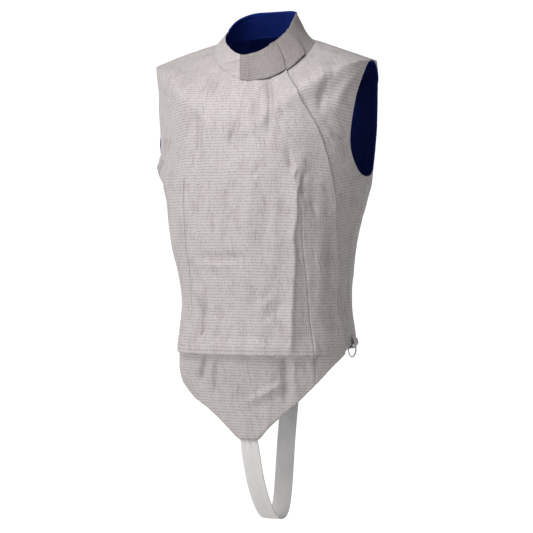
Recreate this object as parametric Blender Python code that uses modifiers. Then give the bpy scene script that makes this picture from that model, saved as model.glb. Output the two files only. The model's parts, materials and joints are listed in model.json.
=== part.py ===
"""A sleeveless electric fencing vest, worn with no wearer inside.

Every cut piece of cloth is a wall of its own: the outer pieces, their lining, the
collar, the crotch strap and the small loop that carries a wire ring at the hem.
The garment faces -Y, the wearer's left is +X, and the origin lies between the
shoulders at the height of the shoulder's neck end. Sizes are in millimetres.
"""
import math
from functools import partial

import bmesh
import bpy
import numpy as np

MM = 0.001
COLLECTION_NAME = "fencing_lame"

# Cloth thicknesses and the gaps between layers
SHELL_THICKNESS = 1.2
LINING_THICKNESS = 1.0
LAYER_GAP = 0.3
SEAM_GAP = 0.3
LINING_GAP = 0.5
LINING_SEAM_GAP = 1.8
OVERLAP_LIFT = SHELL_THICKNESS + LAYER_GAP
LINING_INNER_FACE = -(LINING_GAP + LINING_THICKNESS)

# Main heights of the garment
SHOULDER_TIP_HEIGHT = -33.0
UNDERARM_HEIGHT = -203.0
WAIST_HEIGHT = -394.0
SIDE_HEM_HEIGHT = -452.0
BELLY_FOLD_HEIGHT = -462.0
TIP_HEIGHT = -594.0

# Colours of the finishes
SILVER_CLOTH = (0.60, 0.57, 0.55)
BLUE_LINING = (0.0, 0.008, 0.09)
WHITE_ELASTIC = (0.75, 0.74, 0.73)
STEEL = (0.55, 0.55, 0.54)

# Levels of the garment form, from the neck seam down to below the front tip
LEVEL_COLUMNS = (
    "half_width", "front_depth", "back_depth", "front_power", "back_power",
    "centre_x", "centre_y", "front_height", "side_height", "back_height", "tilt_power",
)
LEVELS = np.array((
    (75, 62, 58, 2.1, 2.0, -1, -8, -56, -2, 13, 1.3),
    (120, 84, 84, 2.1, 2.1, -1, -6, -94, -13.5, -11, 1.5),
    (176, 99, 98, 2.2, 2.2, 0, -3, -134, -33, -72, 2.0),
    (175, 103, 99, 2.2, 2.2, 1.5, -1.5, -152, -66, -98, 2.0),
    (171, 108, 100, 2.3, 2.2, 4, 0, -178, -125, -146, 2.0),
    (164, 111, 99, 2.3, 2.2, 1.5, 1, -203, -203, -203, 2.0),
    (155.5, 112, 97, 2.4, 2.2, 1, 1, -240, -240, -240, 2.0),
    (143, 107, 91, 2.5, 2.2, -0.5, -2, -295, -295, -295, 2.0),
    (134.5, 102, 87, 2.5, 2.2, 3, -3, -345, -345, -345, 2.0),
    (130, 99, 85, 2.5, 2.2, 4.5, -1, -394, -394, -394, 2.0),
    (136.5, 98, 97, 2.4, 2.2, 3, 0, -452, -452, -452, 2.0),
    (136.5, 72, 97, 2.1, 2.2, -1.5, 0, -530, -530, -530, 2.0),
    (127, 55, 97, 2.0, 2.2, -1, 0, -605, -605, -605, 2.0),
))
NECK_LEVEL = 0.0
SHOULDER_TIP_LEVEL = 2.0

# Angle of the overlap's free edge, level by level, in degrees from the centre front
OVERLAP_EDGE_COLUMNS = ("level", "angle")
OVERLAP_EDGE = np.array((
    (0, 52.5), (1, 49.2), (2, 48.8), (3, 51.5), (4, 57.7), (5, 64.8), (6, 68.3),
    (7, 74), (8, 78), (9, 76.5), (10, 81.5), (11, 88),
))
UNDERLAP_WIDTH = 42.0
UNDERLAP_RAMP_START = 16.0
UNDERLAP_RAMP_END = 3.0
LEAST_UNDERLAP_STRIP = 2.0

# Hem of the fronts: height of the edge at each angle from the centre front
HEM_COLUMNS = ("angle", "height")
FRONT_HEM = np.array((
    (-92, SIDE_HEM_HEIGHT), (-86, -458), (-80, -474), (-72, -499), (-66, -521),
    (-58, -536), (-49, -546), (-36, -566), (-15, TIP_HEIGHT), (15, TIP_HEIGHT),
    (19, -592), (36, -569), (45, -557), (54, -540), (60, -525), (66, -505), (72, -484),
    (80, -468), (85, -459), (87.8, SIDE_HEM_HEIGHT), (92, SIDE_HEM_HEIGHT),
))

# Armholes: how far the edges lie from the side, and how much lower they are widest
ARMHOLE_FRONT_ANGLE = 15.7
ARMHOLE_FRONT_SKEW = 0.25
ARMHOLE_BACK_ANGLE = 16.0
ARMHOLE_BACK_SKEW = 0.15

# Largest folds. Each runs from one place to another and stands out by its height
FOLD_COLUMNS = (
    "start_angle", "start_height", "end_angle", "end_height",
    "height", "half_width", "end_fade",
)
FOLDS = (
    # pressed corner between the front and the wearer's left side
    (47, -175, 45, -462, 4.5, 12, 40),
    # softer corner on the wearer's right, along its dart
    (-41, -215, -43, -440, 1.5, 14, 40),
    # soft trough down the underlap's chest
    (73, -34, 58, -105, -2.2, 9, 16),
    # gathers that fall from the neck and the shoulder on the wearer's right
    (-2, -75, 4, -140, -1.4, 12, 30),
    (-34, -100, -32, -190, -1.6, 13, 36),
    # soft troughs above the belly fold
    (-32, -385, -32, -440, -3.0, 10, 16),
    (12, -400, 16, -448, -1.6, 14, 18),
    # troughs down the apron
    (-38, -470, -48, -512, -2.2, 10, 14),
    (-8, -480, -14, -540, -1.6, 13, 20),
    (42, -468, 46, -535, -2.4, 10, 14),
    # soft troughs down the back at the waist
    (152, -300, 156, -405, -2.4, 16, 50),
    (-148, -320, -154, -410, -2.2, 16, 50),
)

# Belly fold: the cloth above hangs out over the apron
BELLY_FOLD_OUT = 5.5
BELLY_FOLD_RISE = 26.0
BELLY_FOLD_IN = 2.5
BELLY_FOLD_FALL = 9.0
BELLY_FOLD_END_ANGLE = 70.0
BELLY_FOLD_FADE = 20.0

# Underarm lip on the wearer's right, where the armhole's lowest edge stands out
LIP_ANGLE = -84.0
LIP_HALF_ANGLE = 20.0
LIP_HEIGHT = -198.0
LIP_OUT = 11.0
LIP_RISE = 30.0
LIP_FALL = 16.0

# Collar: tilted top edge, and the angles of its seams and ends
COLLAR_TOP_HALF_WIDTH = 58.5
COLLAR_TOP_FRONT_DEPTH = 44.0
COLLAR_TOP_BACK_DEPTH = 44.0
COLLAR_TOP_FRONT_POWER = 2.1
COLLAR_TOP_BACK_POWER = 3.3
COLLAR_TOP_CENTRE_X = -5.0
COLLAR_TOP_CENTRE_Y = -16.5
COLLAR_TOP_FRONT_HEIGHT = -20.0
COLLAR_TOP_BACK_HEIGHT = 46.0
COLLAR_BIAS_SEAM_ANGLE = -12.0
COLLAR_TAB_SEAM_ANGLE = 50.0
COLLAR_TAB_END_ANGLE = 80.0
COLLAR_UNDER_END_ANGLE = 32.0
COLLAR_BACK_SEAM_ANGLE = 180.0
COLLAR_HALF_SEAM = 0.18
COLLAR_LINING_END_GAP = 2.0
COLLAR_LINING_START = 0.04
COLLAR_UNDER_START = 0.04
COLLAR_UNDER_FADE_START = 54.5
COLLAR_UNDER_FADE_END = 62.0
COLLAR_SEAT = SHELL_THICKNESS + 0.5

# Columns and rows of the cloth grids
FRONT_COLUMNS = (16, 3)
UNDERLAP_COLUMNS = (3, 4)
BACK_COLUMNS = (8, 8)
SHOULDER_ROWS = (0.0, 0.35, 0.75, 1.15, 1.6)
ARMHOLE_ROW_COUNT = 9
SIDE_ROWS = (5.45, 5.9, 6.4, 7.0, 7.5, 8.0, 8.5)
BELLY_ROW_FRACTIONS = (0.0, 0.3, 0.58, 0.8, 0.93, 1.0)
APRON_ROW_FRACTIONS = (0.08, 0.26, 0.5, 0.75, 1.0)
SIDE_FOLD_SHARE = 0.78
COLLAR_ROWS = 4
COLLAR_COLUMN_ANGLE = 5.4

# Crotch strap: its middle line, from the front tip round to the back hem
STRAP_WIDTH = 30.5
STRAP_THICKNESS = 1.4
STRAP_SEWN_LENGTH = 16.0
STRAP_GAP = 0.7
STRAP_OFFSET = LINING_INNER_FACE - STRAP_GAP - STRAP_THICKNESS / 2
STRAP_COLUMNS = ("y", "z")
STRAP_ROUTE = np.array((
    (-50, -612), (-44, -632), (-31, -664), (-12, -694), (8, -713), (26, -717.5),
    (41, -710), (50.5, -690), (57, -655), (65, -597), (76, -540), (84.5, -502),
    (90, -478), (92.5, -464),
))
STRAP_ACROSS_POINTS = 5
STRAP_STEPS = 2

# Wire ring at the side hem: a straight bar on top of a round bow
RING_INNER_WIDTH = 23.5
RING_DROP = 14.5
RING_WIRE_RADIUS = 1.0
RING_CORNER_RADIUS = 2.5
RING_CORNER_POINTS = 5
RING_BOW_POINTS = 17
RING_CENTRE_Y = 10.5
RING_BELOW_HEM = 3.2

# Cloth loop round the ring's bar. Outside the hem it bulges by these distances
LOOP_WIDTH = 16.0
LOOP_THICKNESS = 0.9
LOOP_LINING_GAP = 1.8
LOOP_SEWN_HEIGHT = 13.0
LOOP_BULGE_COLUMNS = ("out", "rise")
LOOP_BULGE = np.array((
    (0.1, 13.0), (1.6, 10.5), (3.6, 7.5), (4.4, 4.2), (3.4, 0.8), (1.5, -1.8),
))
LOOP_INNER_RISES = (1.0, 5.0, 9.0, LOOP_SEWN_HEIGHT)
LOOP_TURN_POINTS = 9
LOOP_ACROSS_POINTS = 5


def clear_scene():
    """Remove every object from the scene."""
    for scene_object in list(bpy.data.objects):
        bpy.data.objects.remove(scene_object, do_unlink=True)


def make_material(name, colour, roughness, metallic):
    """Make a plain finish for one piece."""
    material = bpy.data.materials.new(name)
    material.use_nodes = True
    shader = material.node_tree.nodes["Principled BSDF"]
    shader.inputs["Base Color"].default_value = (*colour, 1.0)
    shader.inputs["Roughness"].default_value = roughness
    shader.inputs["Metallic"].default_value = metallic
    return material


def column(table, names, name):
    """Give one named column of a table."""
    return table[..., names.index(name)]


def curve_through(table, position):
    """Read a smooth curve through evenly spaced rows of a table."""
    last = len(table) - 1
    position = np.clip(np.asarray(position, dtype=float), 0, last)
    row = np.clip(np.floor(position).astype(int), 0, last - 1)
    part = (position - row)[..., None]
    before = table[np.clip(row - 1, 0, last)]
    start = table[row]
    end = table[row + 1]
    after = table[np.clip(row + 2, 0, last)]
    start_slope = np.where((row == 0)[..., None], end - start, (end - before) / 2)
    end_slope = np.where((row == last - 1)[..., None], end - start, (after - start) / 2)
    return (
        (2 * part**3 - 3 * part**2 + 1) * start
        + (part**3 - 2 * part**2 + part) * start_slope
        + (3 * part**2 - 2 * part**3) * end
        + (part**3 - part**2) * end_slope
    )


def smooth_step(value, low, high):
    """Rise smoothly from 0 at low to 1 at high."""
    share = np.clip((value - low) / (high - low), 0, 1)
    return share * share * (3 - 2 * share)


def unit(vectors):
    """Scale vectors to length 1."""
    return vectors / np.linalg.norm(vectors, axis=-1, keepdims=True)


def oval_radius(angle, half_width, depth, power):
    """Give the radius of a squarish oval in a direction from the centre front."""
    sine = np.abs(np.sin(np.radians(angle)))
    cosine = np.abs(np.cos(np.radians(angle)))
    return ((sine / half_width)**power + (cosine / depth)**power)**(-1 / power)


def form_point(angle, level):
    """Give the point of the bare garment form at an angle and a level."""
    angle, level = np.broadcast_arrays(
        np.asarray(angle, dtype=float), np.asarray(level, dtype=float))
    row = curve_through(LEVELS, level)
    size = {name: column(row, LEVEL_COLUMNS, name) for name in LEVEL_COLUMNS}
    sine = np.sin(np.radians(angle))
    cosine = np.cos(np.radians(angle))
    in_front = cosine > 0
    depth = np.where(in_front, size["front_depth"], size["back_depth"])
    power = np.where(in_front, size["front_power"], size["back_power"])
    radius = oval_radius(angle, size["half_width"], depth, power)
    end_height = np.where(in_front, size["front_height"], size["back_height"])
    end_share = np.abs(cosine)**size["tilt_power"]
    return np.stack((
        size["centre_x"] + radius * sine,
        size["centre_y"] - radius * cosine,
        size["side_height"] + (end_height - size["side_height"]) * end_share,
    ), axis=-1)


def form_normal(angle, level):
    """Give the outward direction of the bare form."""
    angle_step = 0.5
    level_step = 0.02
    low = np.maximum(level - level_step, NECK_LEVEL)
    high = np.minimum(level + level_step, len(LEVELS) - 1)
    around = form_point(angle + angle_step, level) - form_point(angle - angle_step, level)
    down = form_point(angle, high) - form_point(angle, low)
    return unit(np.cross(down, around))


def belly_fold_height(angle, height):
    """Give the belly fold's ledge: out above its line and in just below it."""
    below = BELLY_FOLD_HEIGHT - height
    above_share = 1 - smooth_step(-below, 0, BELLY_FOLD_RISE)
    fall_share = smooth_step(below, 0, BELLY_FOLD_FALL / 2)
    below_share = fall_share * (1 - smooth_step(below, BELLY_FOLD_FALL, 3 * BELLY_FOLD_FALL))
    out = BELLY_FOLD_OUT * np.where(below <= 0, above_share, 1 - fall_share)
    width_share = 1 - smooth_step(
        np.abs(angle), BELLY_FOLD_END_ANGLE - BELLY_FOLD_FADE, BELLY_FOLD_END_ANGLE)
    return (out - BELLY_FOLD_IN * below_share) * width_share


def lip_height(angle, height):
    """Give the lip that stands out under the wearer's right arm."""
    below = LIP_HEIGHT - height
    rise = 1 - smooth_step(-below, 0, LIP_RISE)
    fall = 1 - smooth_step(below, 0, LIP_FALL)
    side_share = 1 - smooth_step(np.abs(angle - LIP_ANGLE), 0, LIP_HALF_ANGLE)
    return LIP_OUT * np.where(below <= 0, rise, fall) * side_share


def fold_height(angle, point):
    """Add up how far the folds stand out at each point of the form."""
    height = point[..., 2]
    arm = np.hypot(point[..., 0], point[..., 1])
    total = belly_fold_height(angle, height) + lip_height(angle, height)
    for row in FOLDS:
        fold = dict(zip(FOLD_COLUMNS, row))
        half_fade = fold["end_fade"] / 2
        length = fold["start_height"] - fold["end_height"]
        share = np.clip((fold["start_height"] - height) / length, 0, 1)
        middle = fold["start_angle"] + (fold["end_angle"] - fold["start_angle"]) * share
        across = np.radians(angle - middle) * arm
        begun = smooth_step(
            -height, -fold["start_height"] - half_fade, -fold["start_height"] + half_fade)
        ended = smooth_step(
            -height, -fold["end_height"] - half_fade, -fold["end_height"] + half_fade)
        swell = np.exp(-(across / fold["half_width"])**2)
        total = total + fold["height"] * begun * (1 - ended) * swell
    return total


def garment_point(angle, level, offset):
    """Give the folded form's point, moved out by an offset."""
    point = form_point(angle, level)
    wrapped = np.where(angle > 180, angle - 360, angle)
    out = fold_height(wrapped, point) + offset
    return point + form_normal(angle, level) * out[..., None]


def side_height(level):
    """Give the height of the form's side at a level."""
    return column(curve_through(LEVELS, level), LEVEL_COLUMNS, "side_height")


def level_at_height(height):
    """Find the level below the shoulder tips whose side lies at a height."""
    levels = np.linspace(SHOULDER_TIP_LEVEL, len(LEVELS) - 1, 1001)
    return np.interp(-np.asarray(height, dtype=float), -side_height(levels), levels)


def turn_for_distance(angle, level, distance):
    """Turn a distance along the cloth into an angle."""
    point = form_point(angle, level)
    return np.degrees(distance / np.hypot(point[..., 0], point[..., 1]))


def overlap_edge(level):
    """Give the angle of the overlap's free edge at a level."""
    return column(curve_through(OVERLAP_EDGE, level), OVERLAP_EDGE_COLUMNS, "angle")


def underlap_edge(level):
    """Give the angle of the underlap's hidden edge at a level."""
    edge = overlap_edge(level)
    return edge - turn_for_distance(edge, level, UNDERLAP_WIDTH)


def underlap_lining_edge(level):
    """Give where the right front's lining stops, just before the underlap."""
    edge = underlap_edge(level)
    return edge - turn_for_distance(edge, level, LINING_SEAM_GAP / 2)


def armhole_angle(level, widest, skew):
    """Give how far an armhole edge lies from the side line at a level."""
    depth = SHOULDER_TIP_HEIGHT - side_height(level)
    share = np.clip(depth / (SHOULDER_TIP_HEIGHT - UNDERARM_HEIGHT), 0, 1)
    return widest * np.sqrt(4 * share * (1 - share)) * (1 + skew * (2 * share - 1))


def left_front_side(level, gap=SEAM_GAP):
    """Give the left front's shoulder seam, armhole edge and side seam."""
    angle = 90 - armhole_angle(level, ARMHOLE_FRONT_ANGLE, ARMHOLE_FRONT_SKEW)
    return angle - turn_for_distance(angle, level, gap / 2)


def right_front_side(level, gap=SEAM_GAP):
    """Give the right front's shoulder seam, armhole edge and side seam."""
    return -left_front_side(level, gap)


def underlap_side(level, gap=SEAM_GAP):
    """Give the left front's side edge, kept past the overlap's free edge."""
    return np.maximum(left_front_side(level, gap), overlap_edge(level) + LEAST_UNDERLAP_STRIP)


def left_back_side(level, gap=SEAM_GAP):
    """Give the back's edge on the wearer's left."""
    angle = 90 + armhole_angle(level, ARMHOLE_BACK_ANGLE, ARMHOLE_BACK_SKEW)
    return angle + turn_for_distance(angle, level, gap / 2)


def right_back_side(level, gap=SEAM_GAP):
    """Give the back's edge on the wearer's right."""
    return 360 - left_back_side(level, gap)


def centre_back(level):
    """Give the middle line of the back."""
    return np.full_like(np.asarray(level, dtype=float), 180.0)


def hem_height(angle):
    """Give the height of the hem at an angle."""
    wrapped = np.where(angle > 180, angle - 360, angle)
    angles = column(FRONT_HEM, HEM_COLUMNS, "angle")
    heights = column(FRONT_HEM, HEM_COLUMNS, "height")
    return np.interp(wrapped, angles, heights)


def upper_rows():
    """Give the levels of the rows from the neck seam down to the waist."""
    steps = np.arange(ARMHOLE_ROW_COUNT + 1) / ARMHOLE_ROW_COUNT
    drop = (1 - np.cos(math.pi * steps)) / 2
    heights = SHOULDER_TIP_HEIGHT + (UNDERARM_HEIGHT - SHOULDER_TIP_HEIGHT) * drop
    return np.concatenate((SHOULDER_ROWS, level_at_height(heights), SIDE_ROWS))


def lower_rows(angle):
    """Give the levels of the rows from the waist to the hem, for each angle."""
    hem = hem_height(angle)
    fold = np.maximum(BELLY_FOLD_HEIGHT, WAIST_HEIGHT + SIDE_FOLD_SHARE * (hem - WAIST_HEIGHT))
    rows = [WAIST_HEIGHT + share * (fold - WAIST_HEIGHT) for share in BELLY_ROW_FRACTIONS]
    rows += [fold + share * (hem - fold) for share in APRON_ROW_FRACTIONS]
    return [level_at_height(row) for row in rows]


def row_level(row, angle):
    """Give the level of one row of the cloth grids at an angle."""
    upper = upper_rows()
    if row < len(upper):
        return np.full_like(np.asarray(angle, dtype=float), upper[row])
    return lower_rows(angle)[row - len(upper)]


def row_count():
    """Give how many rows every cloth grid has."""
    return len(upper_rows()) + len(BELLY_ROW_FRACTIONS) + len(APRON_ROW_FRACTIONS)


def edge_angle(edge, row):
    """Find the angle at which an edge, given by level, crosses a row."""
    first_guess = 80.0
    passes = 8
    angle = np.array(first_guess)
    for _ in range(passes):
        angle = edge(row_level(row, angle))
    return float(angle)


def cloth_grid(edges, column_counts):
    """Give the angles and levels of a piece's points.

    The edges are functions of the level, from the piece's first side to its last,
    and each stretch between two of them has its own count of columns.
    """
    angles = []
    for row in range(row_count()):
        stops = [edge_angle(edge, row) for edge in edges]
        line = [stops[0]]
        for start, end, count in zip(stops, stops[1:], column_counts):
            line += list(np.linspace(start, end, count + 1)[1:])
        angles.append(line)
    angles = np.array(angles)
    levels = np.array([row_level(row, angles[row]) for row in range(row_count())])
    return angles, levels


def surface_object(name, points, material, thickness, side=1.0):
    """Make an open surface from a grid of points and give it its wall."""
    row_total, column_total = points.shape[:2]
    mesh = bpy.data.meshes.new(name)
    build = bmesh.new()
    corners = [build.verts.new(point * MM) for point in points.reshape(-1, 3)]
    for row in range(row_total - 1):
        for first in range(row * column_total, (row + 1) * column_total - 1):
            below = first + column_total
            build.faces.new((corners[first], corners[below], corners[below + 1], corners[first + 1]))
    build.normal_update()
    build.to_mesh(mesh)
    build.free()
    mesh.shade_smooth()
    mesh.materials.append(material)
    piece = bpy.data.objects.new(name, mesh)
    bpy.data.collections[COLLECTION_NAME].objects.link(piece)
    wall = piece.modifiers.new("wall", "SOLIDIFY")
    wall.thickness = thickness * MM
    wall.offset = side
    wall.use_rim = True


def cloth_piece(name, edges, column_counts, material):
    """Make one outer piece on the form."""
    angles, levels = cloth_grid(edges, column_counts)
    points = garment_point(angles, levels, np.zeros_like(angles))
    surface_object(name, points, material, SHELL_THICKNESS)


def lining_piece(name, edges, column_counts, material):
    """Make one piece of lining just inside the outer cloth."""
    angles, levels = cloth_grid(edges, column_counts)
    points = garment_point(angles, levels, np.full_like(angles, -LINING_GAP))
    surface_object(name, points, material, LINING_THICKNESS, side=-1.0)


def overlap_lift(angles, levels):
    """Lift the front clear of the underlap it lies on."""
    hidden_edge = underlap_edge(levels)
    return OVERLAP_LIFT * smooth_step(
        angles, hidden_edge - UNDERLAP_RAMP_START, hidden_edge - UNDERLAP_RAMP_END)


def make_front_outer(material):
    """Make the wearer's right front, which laps over the left one."""
    angles, levels = cloth_grid((right_front_side, underlap_edge, overlap_edge), FRONT_COLUMNS)
    points = garment_point(angles, levels, overlap_lift(angles, levels))
    surface_object("front_outer", points, material, SHELL_THICKNESS)


def make_body(silver, blue):
    """Make the fronts, the back and their linings."""
    make_front_outer(silver)
    underlap_edges = (underlap_edge, overlap_edge, underlap_side)
    back_edges = (left_back_side, centre_back, right_back_side)
    cloth_piece("front_under", underlap_edges, UNDERLAP_COLUMNS, silver)
    cloth_piece("back", back_edges, BACK_COLUMNS, silver)
    seam = LINING_SEAM_GAP
    right_lining = (partial(right_front_side, gap=seam), underlap_lining_edge)
    left_lining = (underlap_edge, overlap_edge, partial(underlap_side, gap=seam))
    back_lining = (
        partial(left_back_side, gap=seam), centre_back, partial(right_back_side, gap=seam))
    lining_piece("lining_front_right", right_lining, FRONT_COLUMNS[:1], blue)
    lining_piece("lining_front_left", left_lining, UNDERLAP_COLUMNS, blue)
    lining_piece("lining_back", back_lining, BACK_COLUMNS, blue)


def collar_line_point(angle, share):
    """Give a point of the collar, from its seam at share 0 to its top edge at 1."""
    neck = np.full_like(angle, NECK_LEVEL)
    base = form_point(angle, neck) + form_normal(angle, neck) * COLLAR_SEAT
    sine = np.sin(np.radians(angle))
    cosine = np.cos(np.radians(angle))
    depth = np.where(cosine > 0, COLLAR_TOP_FRONT_DEPTH, COLLAR_TOP_BACK_DEPTH)
    power = np.where(cosine > 0, COLLAR_TOP_FRONT_POWER, COLLAR_TOP_BACK_POWER)
    radius = oval_radius(angle, COLLAR_TOP_HALF_WIDTH, depth, power)
    middle_height = (COLLAR_TOP_FRONT_HEIGHT + COLLAR_TOP_BACK_HEIGHT) / 2
    half_rise = (COLLAR_TOP_BACK_HEIGHT - COLLAR_TOP_FRONT_HEIGHT) / 2
    top = np.stack((
        COLLAR_TOP_CENTRE_X + radius * sine,
        COLLAR_TOP_CENTRE_Y - radius * cosine,
        middle_height - half_rise * radius * cosine / depth,
    ), axis=-1)
    return base + (top - base) * share[..., None]


def collar_point(angle, share, offset):
    """Give a point of the collar, moved out by an offset."""
    angle_step = 0.5
    around = (
        collar_line_point(angle + angle_step, share)
        - collar_line_point(angle - angle_step, share))
    up = (
        collar_line_point(angle, np.ones_like(share))
        - collar_line_point(angle, np.zeros_like(share)))
    normal = unit(np.cross(around, up))
    return collar_line_point(angle, share) + normal * offset[..., None]


def collar_grid(start, end):
    """Give the angles of a collar piece's points and their steps up from its lower edge."""
    column_count = math.ceil((end - start) / COLLAR_COLUMN_ANGLE)
    return np.meshgrid(
        np.linspace(start, end, column_count + 1), np.linspace(1, 0, COLLAR_ROWS + 1))


def lapping_collar_piece(name, start, end, material):
    """Make a piece of the collar that belongs to the lapping front."""
    angles, shares = collar_grid(start, end)
    lift = overlap_lift(angles, np.full_like(angles, NECK_LEVEL))
    surface_object(name, collar_point(angles, shares, lift), material, SHELL_THICKNESS)


def lower_collar_piece(name, start, end, material):
    """Make a piece of the collar that lies on the neck, or above the lapping front."""
    angles, steps = collar_grid(start, end)
    low = COLLAR_UNDER_START * (
        1 - smooth_step(angles, COLLAR_UNDER_FADE_START, COLLAR_UNDER_FADE_END))
    points = collar_point(angles, low + (1 - low) * steps, np.zeros_like(angles))
    surface_object(name, points, material, SHELL_THICKNESS)


def make_collar_lining(material):
    """Make the collar's lining in one piece."""
    angles, steps = collar_grid(
        COLLAR_UNDER_END_ANGLE, COLLAR_UNDER_END_ANGLE + 360 - COLLAR_LINING_END_GAP)
    shares = COLLAR_LINING_START + (1 - COLLAR_LINING_START) * steps
    points = collar_point(angles, shares, np.full_like(angles, -LINING_GAP))
    surface_object("lining_collar", points, material, LINING_THICKNESS, side=-1.0)


def make_collar(silver, blue):
    """Make the stand collar in its cut pieces, and its lining."""
    bias_seam = COLLAR_BIAS_SEAM_ANGLE + COLLAR_HALF_SEAM
    tab_seam = COLLAR_TAB_SEAM_ANGLE - COLLAR_HALF_SEAM
    back_seam = COLLAR_BACK_SEAM_ANGLE - COLLAR_HALF_SEAM
    whole_seam = 2 * COLLAR_HALF_SEAM
    lapping_collar_piece("collar_front", bias_seam, tab_seam, silver)
    lapping_collar_piece("collar_tab", tab_seam + whole_seam, COLLAR_TAB_END_ANGLE, silver)
    lower_collar_piece("collar_left", COLLAR_UNDER_END_ANGLE, back_seam, silver)
    lower_collar_piece("collar_right", back_seam + whole_seam, 360 + bias_seam - whole_seam, silver)
    make_collar_lining(blue)


def strap_end(centre_angle, turn_sign, heights, across):
    """Give the strap's rows where it is sewn inside a hem, on the panel's own curve."""
    level = level_at_height(heights)
    turns = turn_for_distance(centre_angle, level[0], across)
    angles = np.repeat((centre_angle + turn_sign * turns)[None, :], len(heights), axis=0)
    levels = np.repeat(level[:, None], len(across), axis=1)
    return garment_point(angles, levels, np.full_like(angles, STRAP_OFFSET))


def make_strap(material):
    """Make the elastic crotch strap as one flat band."""
    across = np.linspace(-STRAP_WIDTH / 2, STRAP_WIDTH / 2, STRAP_ACROSS_POINTS)
    sewn = STRAP_SEWN_LENGTH * np.array((1.0, 0.5, 0.0))
    front = strap_end(0.0, 1.0, TIP_HEIGHT + sewn, across)
    back = strap_end(180.0, -1.0, SIDE_HEM_HEIGHT + sewn[::-1], across)
    free = np.zeros((len(STRAP_ROUTE), len(across), 3))
    free[..., 0] = across[None, :]
    free[..., 1] = column(STRAP_ROUTE, STRAP_COLUMNS, "y")[:, None]
    free[..., 2] = column(STRAP_ROUTE, STRAP_COLUMNS, "z")[:, None]
    stations = np.concatenate((front, free, back))
    steps = np.linspace(0, len(stations) - 1, STRAP_STEPS * (len(stations) - 1) + 1)
    points = curve_through(stations.reshape(len(stations), -1), steps)
    points = points.reshape(len(steps), len(across), 3)
    surface_object("crotch_strap", points, material, STRAP_THICKNESS, side=0.0)


def loop_offsets():
    """Give how far the loop's inside face lies from the form, outside and inside the hem."""
    return OVERLAP_LIFT, LINING_INNER_FACE - LOOP_LINING_GAP


def loop_radius():
    """Give the radius of the loop's inside face where it turns under the ring's bar."""
    outer, inner = loop_offsets()
    return (outer - inner) / 2


def ring_angle():
    """Give the angle on the form at the middle of the ring."""
    side_width = form_point(90.0, level_at_height(SIDE_HEM_HEIGHT))[0]
    return 90 + math.degrees(RING_CENTRE_Y / side_width)


def ring_axis():
    """Give where the ring's straight bar lies."""
    level = level_at_height(SIDE_HEM_HEIGHT)
    hem_point = garment_point(np.array(ring_angle()), level, np.array(sum(loop_offsets()) / 2))
    return hem_point[0], SIDE_HEM_HEIGHT - RING_BELOW_HEM


def ring_outline():
    """Give the ring's wire line as distances along the bar and below it."""
    half_bar = RING_INNER_WIDTH / 2 + RING_WIRE_RADIUS
    corner = RING_CORNER_RADIUS
    corner_turns = np.radians(np.linspace(90, 0, RING_CORNER_POINTS))
    bow_turns = np.radians(np.linspace(0, 180, RING_BOW_POINTS + 2)[1:-1])
    right = [(
        half_bar - corner + corner * math.cos(turn),
        -corner + corner * math.sin(turn),
    ) for turn in corner_turns]
    bow = [(
        half_bar * math.cos(turn),
        -corner - (RING_DROP - corner) * math.sin(turn),
    ) for turn in bow_turns]
    left = [(-along, drop) for along, drop in reversed(right)]
    return right + bow + left


def make_ring(material):
    """Make the wire ring, with its origin on the straight bar."""
    axis_x, axis_z = ring_axis()
    outline = ring_outline()
    curve = bpy.data.curves.new("ring", "CURVE")
    curve.dimensions = "3D"
    curve.bevel_depth = RING_WIRE_RADIUS * MM
    curve.bevel_resolution = 2
    spline = curve.splines.new("POLY")
    spline.points.add(len(outline) - 1)
    for point, (along_bar, drop) in zip(spline.points, outline):
        point.co = (0.0, along_bar * MM, drop * MM, 1.0)
    spline.use_cyclic_u = True
    curve.materials.append(material)
    ring = bpy.data.objects.new("ring", curve)
    ring.location = (axis_x * MM, RING_CENTRE_Y * MM, axis_z * MM)
    bpy.data.collections[COLLECTION_NAME].objects.link(ring)


def make_ring_loop(material):
    """Make the cloth loop: down outside the hem, round the bar and up inside."""
    outer, inner = loop_offsets()
    radius = loop_radius()
    axis_x, axis_z = ring_axis()
    turn_height = axis_z + radius - RING_WIRE_RADIUS - LAYER_GAP
    turns = np.radians(np.linspace(0, -180, LOOP_TURN_POINTS))
    offsets = np.concatenate((
        outer + column(LOOP_BULGE, LOOP_BULGE_COLUMNS, "out"),
        np.zeros(LOOP_TURN_POINTS),
        np.full(len(LOOP_INNER_RISES), inner),
    ))
    rises = np.concatenate((
        column(LOOP_BULGE, LOOP_BULGE_COLUMNS, "rise"),
        np.zeros(LOOP_TURN_POINTS),
        LOOP_INNER_RISES,
    ))
    hem_level = level_at_height(SIDE_HEM_HEIGHT)
    half_turn = turn_for_distance(ring_angle(), hem_level, LOOP_WIDTH / 2)
    angles = np.linspace(ring_angle() - half_turn, ring_angle() + half_turn, LOOP_ACROSS_POINTS)
    rise_grid, angle_grid = np.meshgrid(rises, angles, indexing="ij")
    offset_grid = np.repeat(offsets[:, None], len(angles), axis=1)
    levels = level_at_height(SIDE_HEM_HEIGHT + np.maximum(rise_grid, 0))
    points = garment_point(angle_grid, levels, offset_grid)
    points[..., 2] += np.minimum(rise_grid, 0)
    turn_rows = slice(len(LOOP_BULGE), len(LOOP_BULGE) + LOOP_TURN_POINTS)
    across = np.linspace(-LOOP_WIDTH / 2, LOOP_WIDTH / 2, LOOP_ACROSS_POINTS)
    points[turn_rows, :, 0] = axis_x + radius * np.cos(turns)[:, None]
    points[turn_rows, :, 1] = RING_CENTRE_Y + across
    points[turn_rows, :, 2] = turn_height + radius * np.sin(turns)[:, None]
    surface_object("ring_loop", points, material, LOOP_THICKNESS)


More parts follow.
